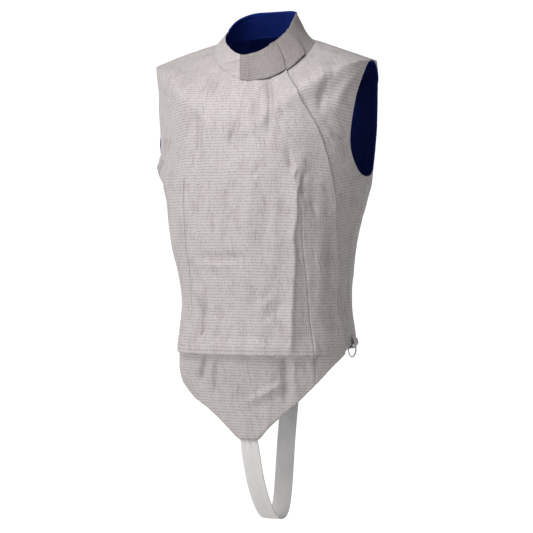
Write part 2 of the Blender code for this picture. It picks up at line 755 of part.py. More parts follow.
def build():
    """Build the whole garment."""
    clear_scene()
    collection = bpy.data.collections.new(COLLECTION_NAME)
    bpy.context.scene.collection.children.link(collection)
    silver = make_material("silver_cloth", SILVER_CLOTH, 0.55, 0.35)
    blue = make_material("blue_lining", BLUE_LINING, 0.7, 0.0)
    elastic = make_material("white_elastic", WHITE_ELASTIC, 0.8, 0.0)
    steel = make_material("ring_steel", STEEL, 0.3, 1.0)
    make_body(silver, blue)
    make_collar(silver, blue)
    make_strap(elastic)
    make_ring(steel)
    make_ring_loop(silver)


build()
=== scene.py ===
"""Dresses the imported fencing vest: cloth with its folds and seams, lining, strap and ring.

Sizes are in millimetres and degrees, as a pattern maker writes them, and become metres when a
mesh is made. The vest faces -Y, the wearer's left is +X, and angle 0 is the centre front. A
level is a place between the rows of the table LEVELS, from the neck seam down.
"""
from __future__ import annotations

import json
import logging
import math
from dataclasses import dataclass, field
from enum import Enum
from typing import Callable, Iterable, Sequence

import bpy
import numpy as np
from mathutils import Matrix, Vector

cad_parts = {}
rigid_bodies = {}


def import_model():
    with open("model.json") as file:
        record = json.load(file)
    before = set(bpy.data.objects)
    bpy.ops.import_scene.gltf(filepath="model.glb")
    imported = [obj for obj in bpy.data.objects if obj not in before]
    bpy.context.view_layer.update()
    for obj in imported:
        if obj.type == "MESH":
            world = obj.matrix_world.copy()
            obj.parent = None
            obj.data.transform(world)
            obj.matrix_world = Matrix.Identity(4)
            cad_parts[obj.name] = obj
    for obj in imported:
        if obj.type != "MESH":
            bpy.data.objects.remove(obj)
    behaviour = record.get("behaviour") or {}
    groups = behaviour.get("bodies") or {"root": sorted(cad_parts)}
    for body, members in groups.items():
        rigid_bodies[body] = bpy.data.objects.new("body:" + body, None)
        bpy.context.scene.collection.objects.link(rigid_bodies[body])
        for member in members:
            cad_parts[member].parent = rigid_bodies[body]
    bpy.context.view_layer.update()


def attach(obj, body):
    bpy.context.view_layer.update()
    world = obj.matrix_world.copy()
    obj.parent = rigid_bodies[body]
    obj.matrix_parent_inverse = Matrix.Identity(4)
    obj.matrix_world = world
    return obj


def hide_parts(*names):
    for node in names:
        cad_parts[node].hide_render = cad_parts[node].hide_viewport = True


LOG = logging.getLogger("fencing_vest")
MM = 0.001
Array = np.ndarray
Edge = Callable[[Array], Array]
Relief = Callable[[Array, Array], Array]
Pair = tuple[float, float]
Colour = tuple[float, float, float]
Piece = bpy.types.Object
Finish = bpy.types.Material

SHOULDER_TIP_HEIGHT = -33.0
UNDERARM_HEIGHT = -203.0
WAIST_HEIGHT = -394.0
SIDE_HEM_HEIGHT = -452.0
BELLY_FOLD_HEIGHT = -462.0
TIP_HEIGHT = -594.0

LEVEL_COLUMNS = (
    "half_width", "front_depth", "back_depth", "front_power", "back_power",
    "centre_x", "centre_y", "front_height", "side_height", "back_height", "tilt_power",
)
LEVELS = np.array((
    (75, 62, 58, 2.1, 2.0, -1, -8, -56, -2, 13, 1.3),
    (120, 84, 84, 2.1, 2.1, -1, -6, -94, -13.5, -11, 1.5),
    (176, 99, 98, 2.2, 2.2, 0, -3, -134, -33, -72, 2.0),
    (175, 103, 99, 2.2, 2.2, 1.5, -1.5, -152, -66, -98, 2.0),
    (171, 108, 100, 2.3, 2.2, 4, 0, -178, -125, -146, 2.0),
    (164, 111, 99, 2.3, 2.2, 1.5, 1, -203, -203, -203, 2.0),
    (155.5, 112, 97, 2.4, 2.2, 1, 1, -240, -240, -240, 2.0),
    (143, 107, 91, 2.5, 2.2, -0.5, -2, -295, -295, -295, 2.0),
    (134.5, 102, 87, 2.5, 2.2, 3, -3, -345, -345, -345, 2.0),
    (130, 99, 85, 2.5, 2.2, 4.5, -1, -394, -394, -394, 2.0),
    (136.5, 98, 97, 2.4, 2.2, 3, 0, -452, -452, -452, 2.0),
    (136.5, 72, 97, 2.1, 2.2, -1.5, 0, -530, -530, -530, 2.0),
    (127, 55, 97, 2.0, 2.2, -1, 0, -605, -605, -605, 2.0),
))
SHOULDER_TIP_LEVEL = 2.0
UNDERARM_LEVEL = 5.0
WAIST_LEVEL = 9.0

# Angle of the overlap's free edge at each level
OVERLAP_EDGE = np.array((
    (0, 52.5), (1, 49.2), (2, 48.8), (3, 51.5), (4, 57.7), (5, 64.8), (6, 68.3),
    (7, 74), (8, 78), (9, 76.5), (10, 81.5), (11, 88),
))
# Level of the neck seam at each angle: it dips on the wearer's left front
NECK_SEAM = np.array((
    (-180, 0), (-24, 0), (2, 0.08), (24, 0.34), (40, 0.64), (52, 0.69), (74, 0.48),
    (100, 0.08), (120, 0), (180, 0),
))
# Height of the collar's top edge at each angle, as a share of its plain slanting plane
COLLAR_RIM = np.array((
    (-180, 0.96), (-110, 0.98), (-75, 1.0), (-47, 1.03), (-22, 0.95), (-8, 0.91), (26, 0.93),
    (48, 0.97), (60, 0.96), (80, 0.95), (90, 0.93), (99, 1.0), (112, 1.05), (124, 1.08),
    (135, 1.0), (180, 0.96),
))
# Height of the hem at each angle
FRONT_HEM = np.array((
    (-92, -452), (-86, -458), (-80, -474), (-72, -499), (-66, -521), (-58, -536),
    (-49, -546), (-36, -566), (-15, -594), (15, -594), (19, -592), (36, -569),
    (45, -557), (54, -540), (60, -525), (66, -505), (72, -484), (80, -468),
    (86, -458), (92, -452),
))
# Dart lines: their angle at each height
RIGHT_DART = np.array((
    (0, -38), (-203, -41), (-229, -40.5), (-282, -40), (-340, -41.5), (-393, -44.5),
    (-446, -42.5), (-605, -42),
))
LEFT_DART = np.array((
    (0, 35), (-120, 40), (-203, 47), (-252, 49.5), (-352, 54), (-417, 56), (-460, 59),
    (-481, 62), (-508, 64.5), (-540, 67), (-605, 70),
))


def smooth_step(value: Array, low: Array | float, high: Array | float) -> Array:
    """Rise smoothly from 0 at low to 1 at high: 3t^2 - 2t^3.

    Args:
        value: where to read the step.
        low: where it starts.
        high: where it ends.

    Returns:
        The step's height at each value.
    """
    share = np.clip((value - low) / (high - low), 0, 1)
    return share * share * (3 - 2 * share)


def unit(vectors: Array) -> Array:
    """Scale vectors to length 1."""
    return vectors / np.maximum(np.linalg.norm(vectors, axis=-1, keepdims=True), 1e-12)


def bell(distance: Array, width: Array | float, power: float = 2.0) -> Array:
    """Give a swell of height 1 that dies away on both sides: exp(-(d / w)^p)."""
    return np.exp(-(distance / width)**power)


def wrap(angle: Array) -> Array:
    """Count angles past the centre back from the other side: -180 to 180."""
    return np.where(angle > 180, angle - 360, angle)


def oval_radius(sine: Array, cosine: Array, width: Array, depth: Array, power: Array) -> Array:
    """Give a squarish oval: 1 / radius^p is the sum of |sin|/width and |cos|/depth, each to p."""
    inverse = (np.abs(sine) / width)**power + (np.abs(cosine) / depth)**power
    return inverse**(-1 / power)


def rolled_edge(distance: Array, radius: float) -> Array:
    """Give how far a rolled edge drops at a distance from it: r - sqrt(r^2 - (r - d)^2)."""
    inside = np.clip(radius - distance, 0, radius)
    return radius - np.sqrt(np.maximum(radius**2 - inside**2, 0))


def lattice_noise(across: Array, down: Array, seed: int) -> Array:
    """Give smooth noise from 0 to 1: seeded heights on a lattice, blended between its points.

    Args:
        across: place across the lattice, in cells.
        down: place down the lattice, in cells.
        seed: the noise's own seed.

    Returns:
        The noise at each place.
    """
    size = 64
    heights = np.random.default_rng(seed).random((size, size))
    column, row = np.floor(across).astype(int), np.floor(down).astype(int)
    right, lower = smooth_step(across - column, 0, 1), smooth_step(down - row, 0, 1)
    near, far = column % size, (column + 1) % size
    first, second = row % size, (row + 1) % size
    top = heights[first, near] * (1 - right) + heights[first, far] * right
    bottom = heights[second, near] * (1 - right) + heights[second, far] * right
    return top * (1 - lower) + bottom * lower


def read_table(table: Array, position: Array) -> Array:
    """Read a two-column table by straight lines between its rows.

    Args:
        table: rows of position and value, in rising or falling order.
        position: where to read it.

    Returns:
        The value at each position.
    """
    rows = table[np.argsort(table[:, 0])]
    return np.interp(position, rows[:, 0], rows[:, 1])


def read_softly(table: Array, angle: Array, reach: float) -> Array:
    """Read a table of angles with its corners softened: the mean of five reads side by side."""
    reads = [read_table(table, wrap(angle) + reach * part) for part in (-1, -0.5, 0, 0.5, 1)]
    return np.mean(reads, axis=0)


def curve_through(table: Array, position: Array) -> Array:
    """Read a smooth curve through the evenly spaced rows of a table.

    Between two rows it is the cubic whose slope at each row is half the step between
    that row's neighbours, and the plain step at the table's ends.

    Args:
        table: one row for each whole position.
        position: where to read it.

    Returns:
        The table's columns at each position.
    """
    last = len(table) - 1
    position = np.clip(np.asarray(position, dtype=float), 0, last)
    row = np.clip(np.floor(position).astype(int), 0, last - 1)
    part = (position - row)[..., None]
    before = table[np.clip(row - 1, 0, last)]
    start = table[row]
    end = table[row + 1]
    after = table[np.clip(row + 2, 0, last)]
    start_slope = np.where((row == 0)[..., None], end - start, (end - before) / 2)
    end_slope = np.where((row == last - 1)[..., None], end - start, (after - start) / 2)
    return (
        (2 * part**3 - 3 * part**2 + 1) * start
        + (part**3 - 2 * part**2 + part) * start_slope
        + (3 * part**2 - 2 * part**3) * end
        + (part**3 - part**2) * end_slope
    )


@dataclass(frozen=True)
class Crease:
    """One fold along a line on the form.

    Attributes:
        line: angle and height of its points, from one end to the other.
        height: how far it stands out, or lies in if it is less than 0.
        before: its half width on the side of smaller angles, or above a level line.
        after: its half width on the other side.
        fade: share of its length over which it rises at its start and falls at its end.
        power: 2 for a soft swell, towards 1 for a pressed edge.
    """

    line: tuple[Pair, ...]
    height: float
    before: float
    after: float
    fade: Pair = (0.3, 0.3)
    power: float = 2.0


def creases(*rows: tuple) -> tuple[Crease, ...]:
    """Make creases from rows of their values, in the order of the fields."""
    return tuple(Crease(*row) for row in rows)


# Main folds, the same as the solid's
MAIN_FOLDS = creases(
    (((47, -175), (45, -462)), 4.5, 12, 12, (0.12, 0.12)),
    (((-41, -215), (-43, -440)), 1.5, 14, 14, (0.15, 0.15)),
    (((73, -34), (66, -72), (58, -105)), -2.2, 9, 9),
    (((-2, -75), (4, -140)), -1.4, 12, 12),
    (((-34, -100), (-32, -190)), -1.6, 13, 13),
    (((-32, -385), (-32, -440)), -3.0, 10, 10),
    (((12, -400), (16, -448)), -1.6, 14, 14),
    (((-38, -470), (-48, -512)), -2.2, 10, 10),
    (((-8, -480), (-14, -540)), -1.6, 13, 13),
    (((42, -468), (46, -535)), -2.4, 10, 10),
    (((152, -300), (156, -405)), -2.4, 16, 16),
    (((-148, -320), (-154, -410)), -2.2, 16, 16),
)
# Finer creases of the front, as they lie in the cloth
FRONT_CREASES = creases(
    # pressed ridge beside the dart: sharp crest, wavering line
    (((48.2, -208), (46.2, -232), (47, -262), (46.3, -289), (47.2, -318),
      (46.6, -347), (45, -391), (44.3, -433), (44.8, -458)), 2.0, 5.5, 2.6, (0.05, 0.03), 1.5),
    (((50.5, -196), (49.2, -214), (49.8, -236)), -1.8, 3, 3.5),
    (((46, -190), (44.5, -206), (46.2, -224)), 1.3, 3, 3),
    (((54, -240), (56, -251), (58, -262)), -1.6, 2.2, 2.6, (0.2, 0.2), 1.5),
    (((60.5, -212), (63, -236), (64, -270)), -0.9, 5, 6),
    (((61, -300), (63, -345), (62, -400)), 1.0, 7, 7),
    (((69, -280), (71, -330), (70, -385)), -0.9, 6, 6),
    # puckers along the darts
    (((-38.5, -214), (-37.6, -232)), -0.9, 3, 3.5),
    (((-44.5, -222), (-45, -262)), 0.9, 5, 4),
    (((-37.5, -262), (-36.8, -300)), -0.7, 4, 4),
    (((-38.5, -330), (-36.4, -352), (-38, -372)), -1.2, 4.5, 4.5),
    (((-49, -300), (-50, -360)), -0.8, 6, 6),
    # gathers that hang from the neck seam and the shoulder
    (((34, -62), (32, -100), (29, -146)), -2.0, 3.5, 5.5, (0.35, 0.4)),
    (((27, -70), (25, -112), (22, -150)), 0.9, 6, 6, (0.35, 0.4)),
    (((15, -84), (14, -118), (11, -160)), -0.9, 6, 7, (0.3, 0.4)),
    (((3, -118), (-1, -140), (-3, -158)), -1.7, 3.2, 5, (0.3, 0.35), 1.7),
    (((0, -128), (-2, -158), (-4, -184)), -0.8, 6, 8),
    (((-20, -98), (-21, -140), (-22, -182)), 0.9, 8, 8),
    (((-33, -110), (-32, -150), (-31.5, -184)), -1.8, 4, 5.5, (0.3, 0.4)),
    (((-27, -120), (-27, -150), (-26, -176)), 1.0, 4, 5, (0.3, 0.4)),
    (((8, -92), (6, -128), (4, -150)), 1.0, 3.5, 5, (0.3, 0.4)),
    (((-42, -40), (-34, -62), (-27, -84)), -1.0, 7, 8),
    (((-52, -60), (-46, -104), (-42, -150)), 0.9, 9, 9),
    (((-60, -95), (-57, -135), (-56, -175)), -0.9, 8, 8),
    (((19, -182), (21, -190), (17, -206)), -0.9, 3, 4),
    (((40, -160), (42, -180), (44, -196)), -1.2, 5, 5),
    # soft darker field over the waist with a light crease under it
    (((-34, -331), (-14, -333), (6, -331)), 1.0, 5, 2.2, (0.15, 0.3), 1.5),
    (((-30, -318), (-8, -321), (14, -319)), -1.0, 14, 4, (0.2, 0.3)),
    (((-28, -236), (-26, -262), (-27, -322)), -0.7, 9, 10),
    (((-4, -214), (-2, -250), (-5, -300)), -0.8, 8, 9),
    (((12, -236), (13, -270), (11, -312)), 0.6, 8, 8),
    (((27, -214), (28, -262), (25, -306)), -0.9, 7, 8),
    (((10, -306), (12, -320), (11, -334)), -1.1, 2.5, 3),
    (((33, -252), (34, -300), (31, -350)), 0.7, 7, 7),
    # diagonal pulls towards the side closing
    (((16, -404), (26, -390), (36, -374)), 1.0, 5, 6),
    (((22, -416), (31, -404), (40, -384)), -0.8, 5, 6),
    (((-10, -345), (-4, -362), (-6, -384)), -0.7, 8, 9),
    (((-16, -392), (-14, -420), (-17, -446)), -0.9, 8, 9),
    (((-31, -386), (-33, -412), (-32, -448)), -2.4, 3.6, 4.5),
    (((28, -420), (30, -436), (29, -452)), -0.8, 7, 7),
    # apron under the belly fold
    (((-35, -466), (-42, -490), (-50, -514)), -2.5, 3.2, 4.5, (0.15, 0.3)),
    (((-23, -474), (-29, -500), (-36, -528)), -2.2, 3.4, 5, (0.2, 0.35)),
    (((-12, -470), (-8, -500), (-12, -540)), 0.8, 9, 9),
    (((40, -466), (43, -498), (47, -536)), -2.6, 3, 4, (0.15, 0.3)),
    (((47, -468), (50, -500), (55, -530)), 1.3, 4, 5, (0.2, 0.3)),
    (((6, -536), (26, -522), (46, -503)), 2.0, 5, 4, (0.25, 0.25), 1.7),
    (((10, -552), (28, -538), (44, -520)), -0.9, 7, 7),
    (((22, -470), (20, -490), (24, -512)), -0.9, 7, 8),
    (((58, -466), (60, -486), (64, -505)), 0.8, 5, 6),
    (((-58, -470), (-60, -495), (-62, -518)), 0.8, 6, 6),
    # underarm lip on the wearer's right
    (((-66, -178), (-72, -190), (-79, -203), (-86, -210)), -3.2, 3.6, 3.2, (0.15, 0.1), 1.6),
    (((-68, -170), (-75, -181), (-83, -193)), 1.3, 5, 4, (0.2, 0.1)),
    (((-62, -215), (-68, -240), (-70, -290)), -0.9, 9, 9),
)
# Finer creases of the wearer's left side
SIDE_CREASES = creases(
    (((71, -32), (65, -54), (61, -78), (58, -112)), -2.4, 3.4, 5, (0.3, 0.3)),
    (((79, -50), (70, -80), (65, -112)), 1.3, 5, 6),
    (((63, -143), (67, -147), (72, -150)), -1.6, 2.5, 3, (0.2, 0.2), 1.6),
    (((60, -122), (63, -132), (66, -140)), -1.4, 3, 4),
    (((84, -199), (80, -206), (77, -214)), -1.2, 3, 3),
    (((88, -206), (86, -218), (84, -234)), 1.0, 4, 4),
    (((80, -225), (82, -262), (84, -300)), -0.8, 7, 7),
    (((86, -330), (87, -372), (87, -410)), 0.8, 6, 6),
    (((83, -392), (84, -420), (86, -440)), -0.8, 5, 5),
)
# Creases of both fronts
FRONTS = FRONT_CREASES + SIDE_CREASES
# Creases of the back, which the photograph doesn't show
BACK_CREASES = creases(
    (((180, -10), (180, -60), (179, -130)), -0.9, 9, 9),
    (((150, -46), (156, -90), (160, -150)), -1.6, 8, 10, (0.3, 0.4)),
    (((-150, -46), (-157, -90), (-160, -150)), -1.4, 9, 9, (0.3, 0.4)),
    (((128, -70), (136, -112), (142, -165)), 1.1, 10, 10),
    (((-126, -70), (-137, -116), (-141, -160)), 1.2, 10, 10),
    (((118, -150), (122, -185), (128, -225)), -1.3, 7, 9),
    (((-118, -148), (-121, -185), (-126, -220)), -1.3, 8, 8),
    (((140, -240), (143, -300), (141, -356)), -1.0, 9, 9),
    (((-138, -250), (-141, -300), (-140, -360)), -1.1, 9, 9),
    (((168, -190), (170, -250), (168, -320)), 0.9, 11, 11),
    (((-166, -200), (-170, -262), (-168, -330)), 0.8, 11, 11),
    (((112, -360), (128, -378), (146, -372)), -1.5, 6, 8, (0.25, 0.3), 1.8),
    (((-112, -366), (-127, -380), (-144, -374)), -1.4, 6, 8, (0.25, 0.3), 1.8),
    (((152, -392), (168, -402), (186, -398)), -1.1, 6, 8),
    (((150, -300), (155, -350), (157, -410)), 1.0, 5, 6),
    (((-147, -306), (-152, -350), (-153, -408)), 1.0, 5, 6),
    (((164, -402), (166, -425), (164, -450)), -1.2, 7, 8, (0.3, 0.1)),
    (((-132, -404), (-134, -428), (-131, -450)), -1.2, 7, 8, (0.3, 0.1)),
    (((126, -400), (124, -424), (127, -450)), 1.0, 8, 8, (0.3, 0.1)),
)

# The cloth's own wrinkles: width and length of a cell, seed and height, in millimetres
WRINKLES = ((17.0, 74.0, 3, 1.9), (7.0, 27.0, 5, 1.15), (30.0, 26.0, 8, 0.8))
# Thin pressed lines, the same way, with their lean and width, and the patches that have them
PRESSED_LINES = (13.0, 48.0, 13, 0.9)
LEAN, LINE_WIDTH = 0.35, 0.055
PATCHES = (34.0, 52.0, 21)


@dataclass(frozen=True)
class VestForm:
    """The worn form that every cloth piece lies on.

    The cloth above the belly fold hangs out over the apron, which lies in just below it, and
    a lip stands out under the wearer's right arm.

    Attributes:
        belly_rise: height over which the cloth above the fold swells.
        belly_fall: height over which the apron comes back out.
        belly_lip: height of the fold's edge itself.
        corner: sine of the angles between which the shoulder tips become sharp.
        calm_levels: how far below the neck seam the back has only its main folds.
        calm_angles: the angles between which that begins.
        mean_radius: turns an angle into a distance for the wrinkles.
    """

    belly_out: float = 5.5
    belly_rise: float = 26.0
    belly_in: float = 2.5
    belly_fall: float = 9.0
    belly_lip: float = 2.2
    belly_droop: float = 2.4
    belly_end: float = 78.0
    belly_fade: float = 26.0
    lip_out: float = 11.0
    lip_angle: float = -84.0
    lip_half_angle: float = 20.0
    lip_height: float = -198.0
    lip_rise: float = 30.0
    lip_fall: float = 16.0
    corner: Pair = (0.90, 0.985)
    fine_strength: float = 1.9
    calm_levels: float = 0.4
    calm_angles: Pair = (55.0, 80.0)
    mean_radius: float = 122.0

    @staticmethod
    def side_height(level: Array) -> Array:
        """Give the height of the form's side."""
        return curve_through(LEVELS, level)[..., LEVEL_COLUMNS.index("side_height")]

    def sizes(self, level: Array, sine: Array) -> dict[str, Array]:
        """Give the form's named sizes, with a sharp corner at the shoulder tips.

        Near the sides the curves above and below the tips are read apart from each other,
        so that the shoulder runs straight out to its tip and the armhole straight down.

        Args:
            level: the form's level.
            sine: sine of the angle from the centre front.

        Returns:
            An array for each column's name.
        """
        tip = int(SHOULDER_TIP_LEVEL)
        above = curve_through(LEVELS[:tip + 1], level)
        below = curve_through(LEVELS[tip:], level - tip)
        corner = np.where((level < tip)[..., None], above, below)
        share = smooth_step(np.abs(sine), *self.corner)[..., None]
        row = curve_through(LEVELS, level) * (1 - share) + corner * share
        return {name: row[..., number] for number, name in enumerate(LEVEL_COLUMNS)}

    def point(self, angle: Array, level: Array) -> Array:
        """Give points of the bare form.

        Each level is a squarish oval. Its height runs from the side's to the front's or
        the back's with |cos| to the tilt power.

        Args:
            angle: in degrees.
            level: the form's level.

        Returns:
            Points in millimetres.
        """
        angle, level = np.broadcast_arrays(angle, level)
        sine, cosine = np.sin(np.radians(angle)), np.cos(np.radians(angle))
        size = self.sizes(level, sine)
        depth, power, end = (
            np.where(cosine > 0, size["front_" + name], size["back_" + name])
            for name in ("depth", "power", "height"))
        radius = oval_radius(sine, cosine, size["half_width"], depth, power)
        share = np.abs(cosine)**size["tilt_power"]
        return np.stack((
            size["centre_x"] + radius * sine,
            size["centre_y"] - radius * cosine,
            size["side_height"] + (end - size["side_height"]) * share,
        ), axis=-1)

    def normal(self, angle: Array, level: Array) -> Array:
        """Give the outward direction, from the steps round and down the form.

        Args:
            angle: in degrees.
            level: the form's level.

        Returns:
            Directions of length 1.
        """
        turn = 0.5
        step = 0.02
        low = np.maximum(level - step, 0.0)
        high = np.minimum(level + step, len(LEVELS) - 1)
        around = self.point(angle + turn, level) - self.point(angle - turn, level)
        down = self.point(angle, high) - self.point(angle, low)
        return unit(np.cross(down, around))

    def belly_width(self, angle: Array) -> Array:
        """Give the belly fold's share at each angle: all of it in front, none at the sides."""
        return 1 - smooth_step(np.abs(angle), self.belly_end - self.belly_fade, self.belly_end)

    def swells(self, angle: Array, height: Array) -> Array:
        """Give the ledge of the belly fold and the lip under the wearer's right arm.

        The ledge stands out above the fold's edge and lies in below it.

        Args:
            angle: in degrees, -180 to 180.
            height: height of each point.

        Returns:
            Distances out in millimetres.
        """
        below = BELLY_FOLD_HEIGHT - height
        above = 1 - smooth_step(-below, 0, self.belly_rise)
        fall = smooth_step(below, 0, self.belly_lip)
        under = fall * (1 - smooth_step(below, self.belly_fall, 3 * self.belly_fall))
        ledge = self.belly_out * np.where(below <= 0, above, 1 - fall) - self.belly_in * under
        below = self.lip_height - height
        rise = 1 - smooth_step(-below, 0, self.lip_rise)
        fall = 1 - smooth_step(below, 0, self.lip_fall)
        side = 1 - smooth_step(np.abs(angle - self.lip_angle), 0, self.lip_half_angle)
        lip = self.lip_out * np.where(below <= 0, rise, fall) * side
        return ledge * self.belly_width(angle) + lip

    def droop(self, angle: Array, height: Array) -> Array:
        """Give how far down the fold's edge hangs over the dark line under it.

        Args:
            angle: in degrees, -180 to 180.
            height: height of each point.

        Returns:
            Distances down in millimetres.
        """
        middle, reach, lowest = 1.0, 5.0, -0.6
        above = height - BELLY_FOLD_HEIGHT
        edge = bell(above - middle, reach) * (above > lowest)
        return self.belly_droop * edge * self.belly_width(angle)

    def level_at(self, height: Array) -> Array:
        """Find the level below the shoulder tips whose side lies at a height."""
        levels = np.linspace(SHOULDER_TIP_LEVEL, len(LEVELS) - 1, 2001)
        return np.interp(-np.asarray(height, dtype=float), -self.side_height(levels), levels)

    def level_for_height(self, angle: float, height: float) -> float:
        """Find the level whose point lies at a height, at one angle of the form.

        Args:
            angle: in degrees.
            height: the height to find.

        Returns:
            Its level.
        """
        levels = np.linspace(0, len(LEVELS) - 1, 1201)
        heights = self.point(np.full_like(levels, angle), levels)[:, 2]
        return float(np.interp(-height, -np.minimum.accumulate(heights), levels))

    def on_line(self, line: Sequence[Pair], count: int) -> tuple[Array, Array]:
        """Spread points along a line of angles and heights.

        Args:
            line: angle and height of the line's own points.
            count: how many points to spread.

        Returns:
            Their angles and levels.
        """
        stops = np.array([(angle, self.level_for_height(angle, height)) for angle, height in line])
        reads = np.linspace(0, len(stops) - 1, count)
        table = curve_through(stops, reads) if len(stops) > 2 else np.stack(
            [np.interp(reads, (0, 1), stops[:, k]) for k in range(2)], axis=-1)
        return table[:, 0], table[:, 1]

    def crease_height(self, crease: Crease, points: Array, normals: Array) -> Array:
        """Give how far one crease moves each point out.

        The distance d to the crease's line is measured in space, and the height is
        h * exp(-(d / w)^p) with its own half width w on each side, faded at both ends.

        Args:
            crease: the crease.
            points: bare points of the form.
            normals: their outward directions.

        Returns:
            Distances in millimetres.
        """
        count = 32
        angles, levels = self.on_line(crease.line, count)
        line = self.point(angles, levels)
        reach = 3.2 * max(crease.before, crease.after)
        low = line.min(axis=0) - reach
        high = line.max(axis=0) + reach
        near = np.all((points >= low) & (points <= high), axis=-1)
        total = np.zeros(points.shape[:-1])
        if not near.any():
            return total
        chosen = points[near]
        gap = chosen[:, None, :] - line[None, :, :]
        place = np.argmin((gap**2).sum(axis=-1), axis=1)
        away = gap[np.arange(len(chosen)), place]
        tangent = unit(np.gradient(line, axis=0))[place]
        across_direction = unit(np.cross(normals[near], tangent))
        across = (away * across_direction).sum(axis=-1)
        along = (away * tangent).sum(axis=-1)
        lengths = arc_lengths(line, 0)
        share = (lengths[place] + along) / lengths[-1]
        begun = smooth_step(share, -0.5 * crease.fade[0], crease.fade[0])
        ended = smooth_step(share, 1 - crease.fade[1], 1 + 0.5 * crease.fade[1])
        width = np.where(across < 0, crease.before, crease.after)
        far = np.linalg.norm(away, axis=-1)
        beside = np.where((share < 0) | (share > 1), far, np.abs(across))
        total[near] = crease.height * bell(beside, width, crease.power) * begun * (1 - ended)
        return total

    def relief(
            self, angle: Array, level: Array, creases: Iterable[Crease]) -> tuple[Array, Array, Array]:
        """Give the form's points with everything that stands out of them.

        Args:
            angle: in degrees.
            level: the form's level.
            creases: the finer creases of this piece.

        Returns:
            Bare points, outward directions and heights of the relief.
        """
        points = self.point(angle, level)
        normals = self.normal(angle, level)
        wrapped = wrap(angle)
        height = points[..., 2]
        out = self.swells(wrapped, height)
        for crease in MAIN_FOLDS:
            out = out + self.crease_height(crease, points, normals)
        fine = self.unevenness(angle, height)
        for crease in creases:
            fine = fine + self.fine_strength * self.crease_height(crease, points, normals)
        near_seam = 1 - smooth_step(level - read_table(NECK_SEAM, wrapped), 0, self.calm_levels)
        calm = near_seam * smooth_step(np.abs(wrapped), *self.calm_angles)
        return points, normals, out + fine * (1 - calm)

    def unevenness(self, angle: Array, height: Array) -> Array:
        """Give the cloth's own wrinkles: long soft ones, short puckers and thin pressed lines.

        Each is a field of seeded lattice noise, narrow across the cloth and long down it. A
        pressed line lies where its noise crosses its middle.

        Args:
            angle: in degrees.
            height: height of each point.

        Returns:
            Distances out in millimetres.
        """
        across = np.radians(angle) * self.mean_radius
        total = np.zeros_like(height)
        for wide, long, seed, swell in WRINKLES:
            total = total + swell * (lattice_noise(across / wide, height / long, seed) - 0.5)
        wide, long, seed, depth = PRESSED_LINES
        leaning = lattice_noise((across + LEAN * height) / wide, height / long, seed)
        wide, long, seed = PATCHES
        place = smooth_step(lattice_noise(across / wide, height / long, seed), 0.42, 0.72)
        return total - depth * bell(leaning - 0.5, LINE_WIDTH) * place

    def turn(self, angle: Array, level: Array, distance: float) -> Array:
        """Turn a distance along the cloth into an angle."""
        point = self.point(angle, level)
        return np.degrees(distance / np.hypot(point[..., 0], point[..., 1]))


@dataclass(frozen=True)
class PatternEdges:
    """Where the vest's cut pieces begin and end, as angles at each level.

    Attributes:
        underlap: width of the left front that lies under the flap.
        armhole_front: how far the front's armhole edge lies from the side line, and how much
            its lower half is fuller.
        armhole_back: the same for the back.
        least_strip: how far the left front reaches past the flap's edge at least.
        dart_room: how far the left dart keeps from that edge.
    """

    form: VestForm
    underlap: float = 42.0
    armhole_front: Pair = (15.7, 0.25)
    armhole_back: Pair = (16.0, 0.15)
    least_strip: float = 2.0
    dart_room: float = 6.0

    @staticmethod
    def neck_level(angle: Array) -> Array:
        """Give the level of the neck seam."""
        return read_softly(NECK_SEAM, angle, 7.0)

    def overlap(self, level: Array) -> Array:
        """Give the overlap's free edge."""
        return curve_through(OVERLAP_EDGE, level)[..., 1]

    def underlap_edge(self, level: Array) -> Array:
        """Give the underlap's hidden edge."""
        edge = self.overlap(level)
        return edge - self.form.turn(edge, level, self.underlap)

    def armhole(self, level: Array, widest: float, skew: float) -> Array:
        """Give how far an armhole edge lies from the side line, as a leaning half oval.

        Args:
            level: the form's level.
            widest: its greatest distance, in degrees.
            skew: how much its lower half is fuller.

        Returns:
            Distances in degrees.
        """
        depth = SHOULDER_TIP_HEIGHT - self.form.side_height(level)
        share = np.clip(depth / (SHOULDER_TIP_HEIGHT - UNDERARM_HEIGHT), 0, 1)
        return widest * np.sqrt(4 * share * (1 - share)) * (1 + skew * (2 * share - 1))

    def left_front_side(self, level: Array) -> Array:
        """Give the left front's shoulder seam, armhole edge and side seam."""
        return 90 - self.armhole(level, *self.armhole_front)

    def right_front_side(self, level: Array) -> Array:
        """Give the right front's side."""
        return -self.left_front_side(level)

    def underlap_side(self, level: Array) -> Array:
        """Give the left front's side edge, kept past the flap's free edge."""
        return np.maximum(self.left_front_side(level), self.overlap(level) + self.least_strip)

    def left_back_side(self, level: Array) -> Array:
        """Give the back's edge on the wearer's left."""
        return 90 + self.armhole(level, *self.armhole_back)

    def right_back_side(self, level: Array) -> Array:
        """Give the back's edge on the wearer's right."""
        return 360 - self.left_back_side(level)

    @staticmethod
    def centre_back(level: Array) -> Array:
        """Give the middle line of the back."""
        return np.full_like(np.asarray(level, dtype=float), 180.0)

    def right_dart(self, level: Array) -> Array:
        """Give the line of the dart on the wearer's right."""
        return read_table(RIGHT_DART, self.form.side_height(level))

    def left_dart(self, level: Array) -> Array:
        """Give the line of the dart on the wearer's left, kept clear of the flap's edge."""
        line = read_table(LEFT_DART, self.form.side_height(level))
        return np.minimum(line, self.overlap(level) - self.dart_room)


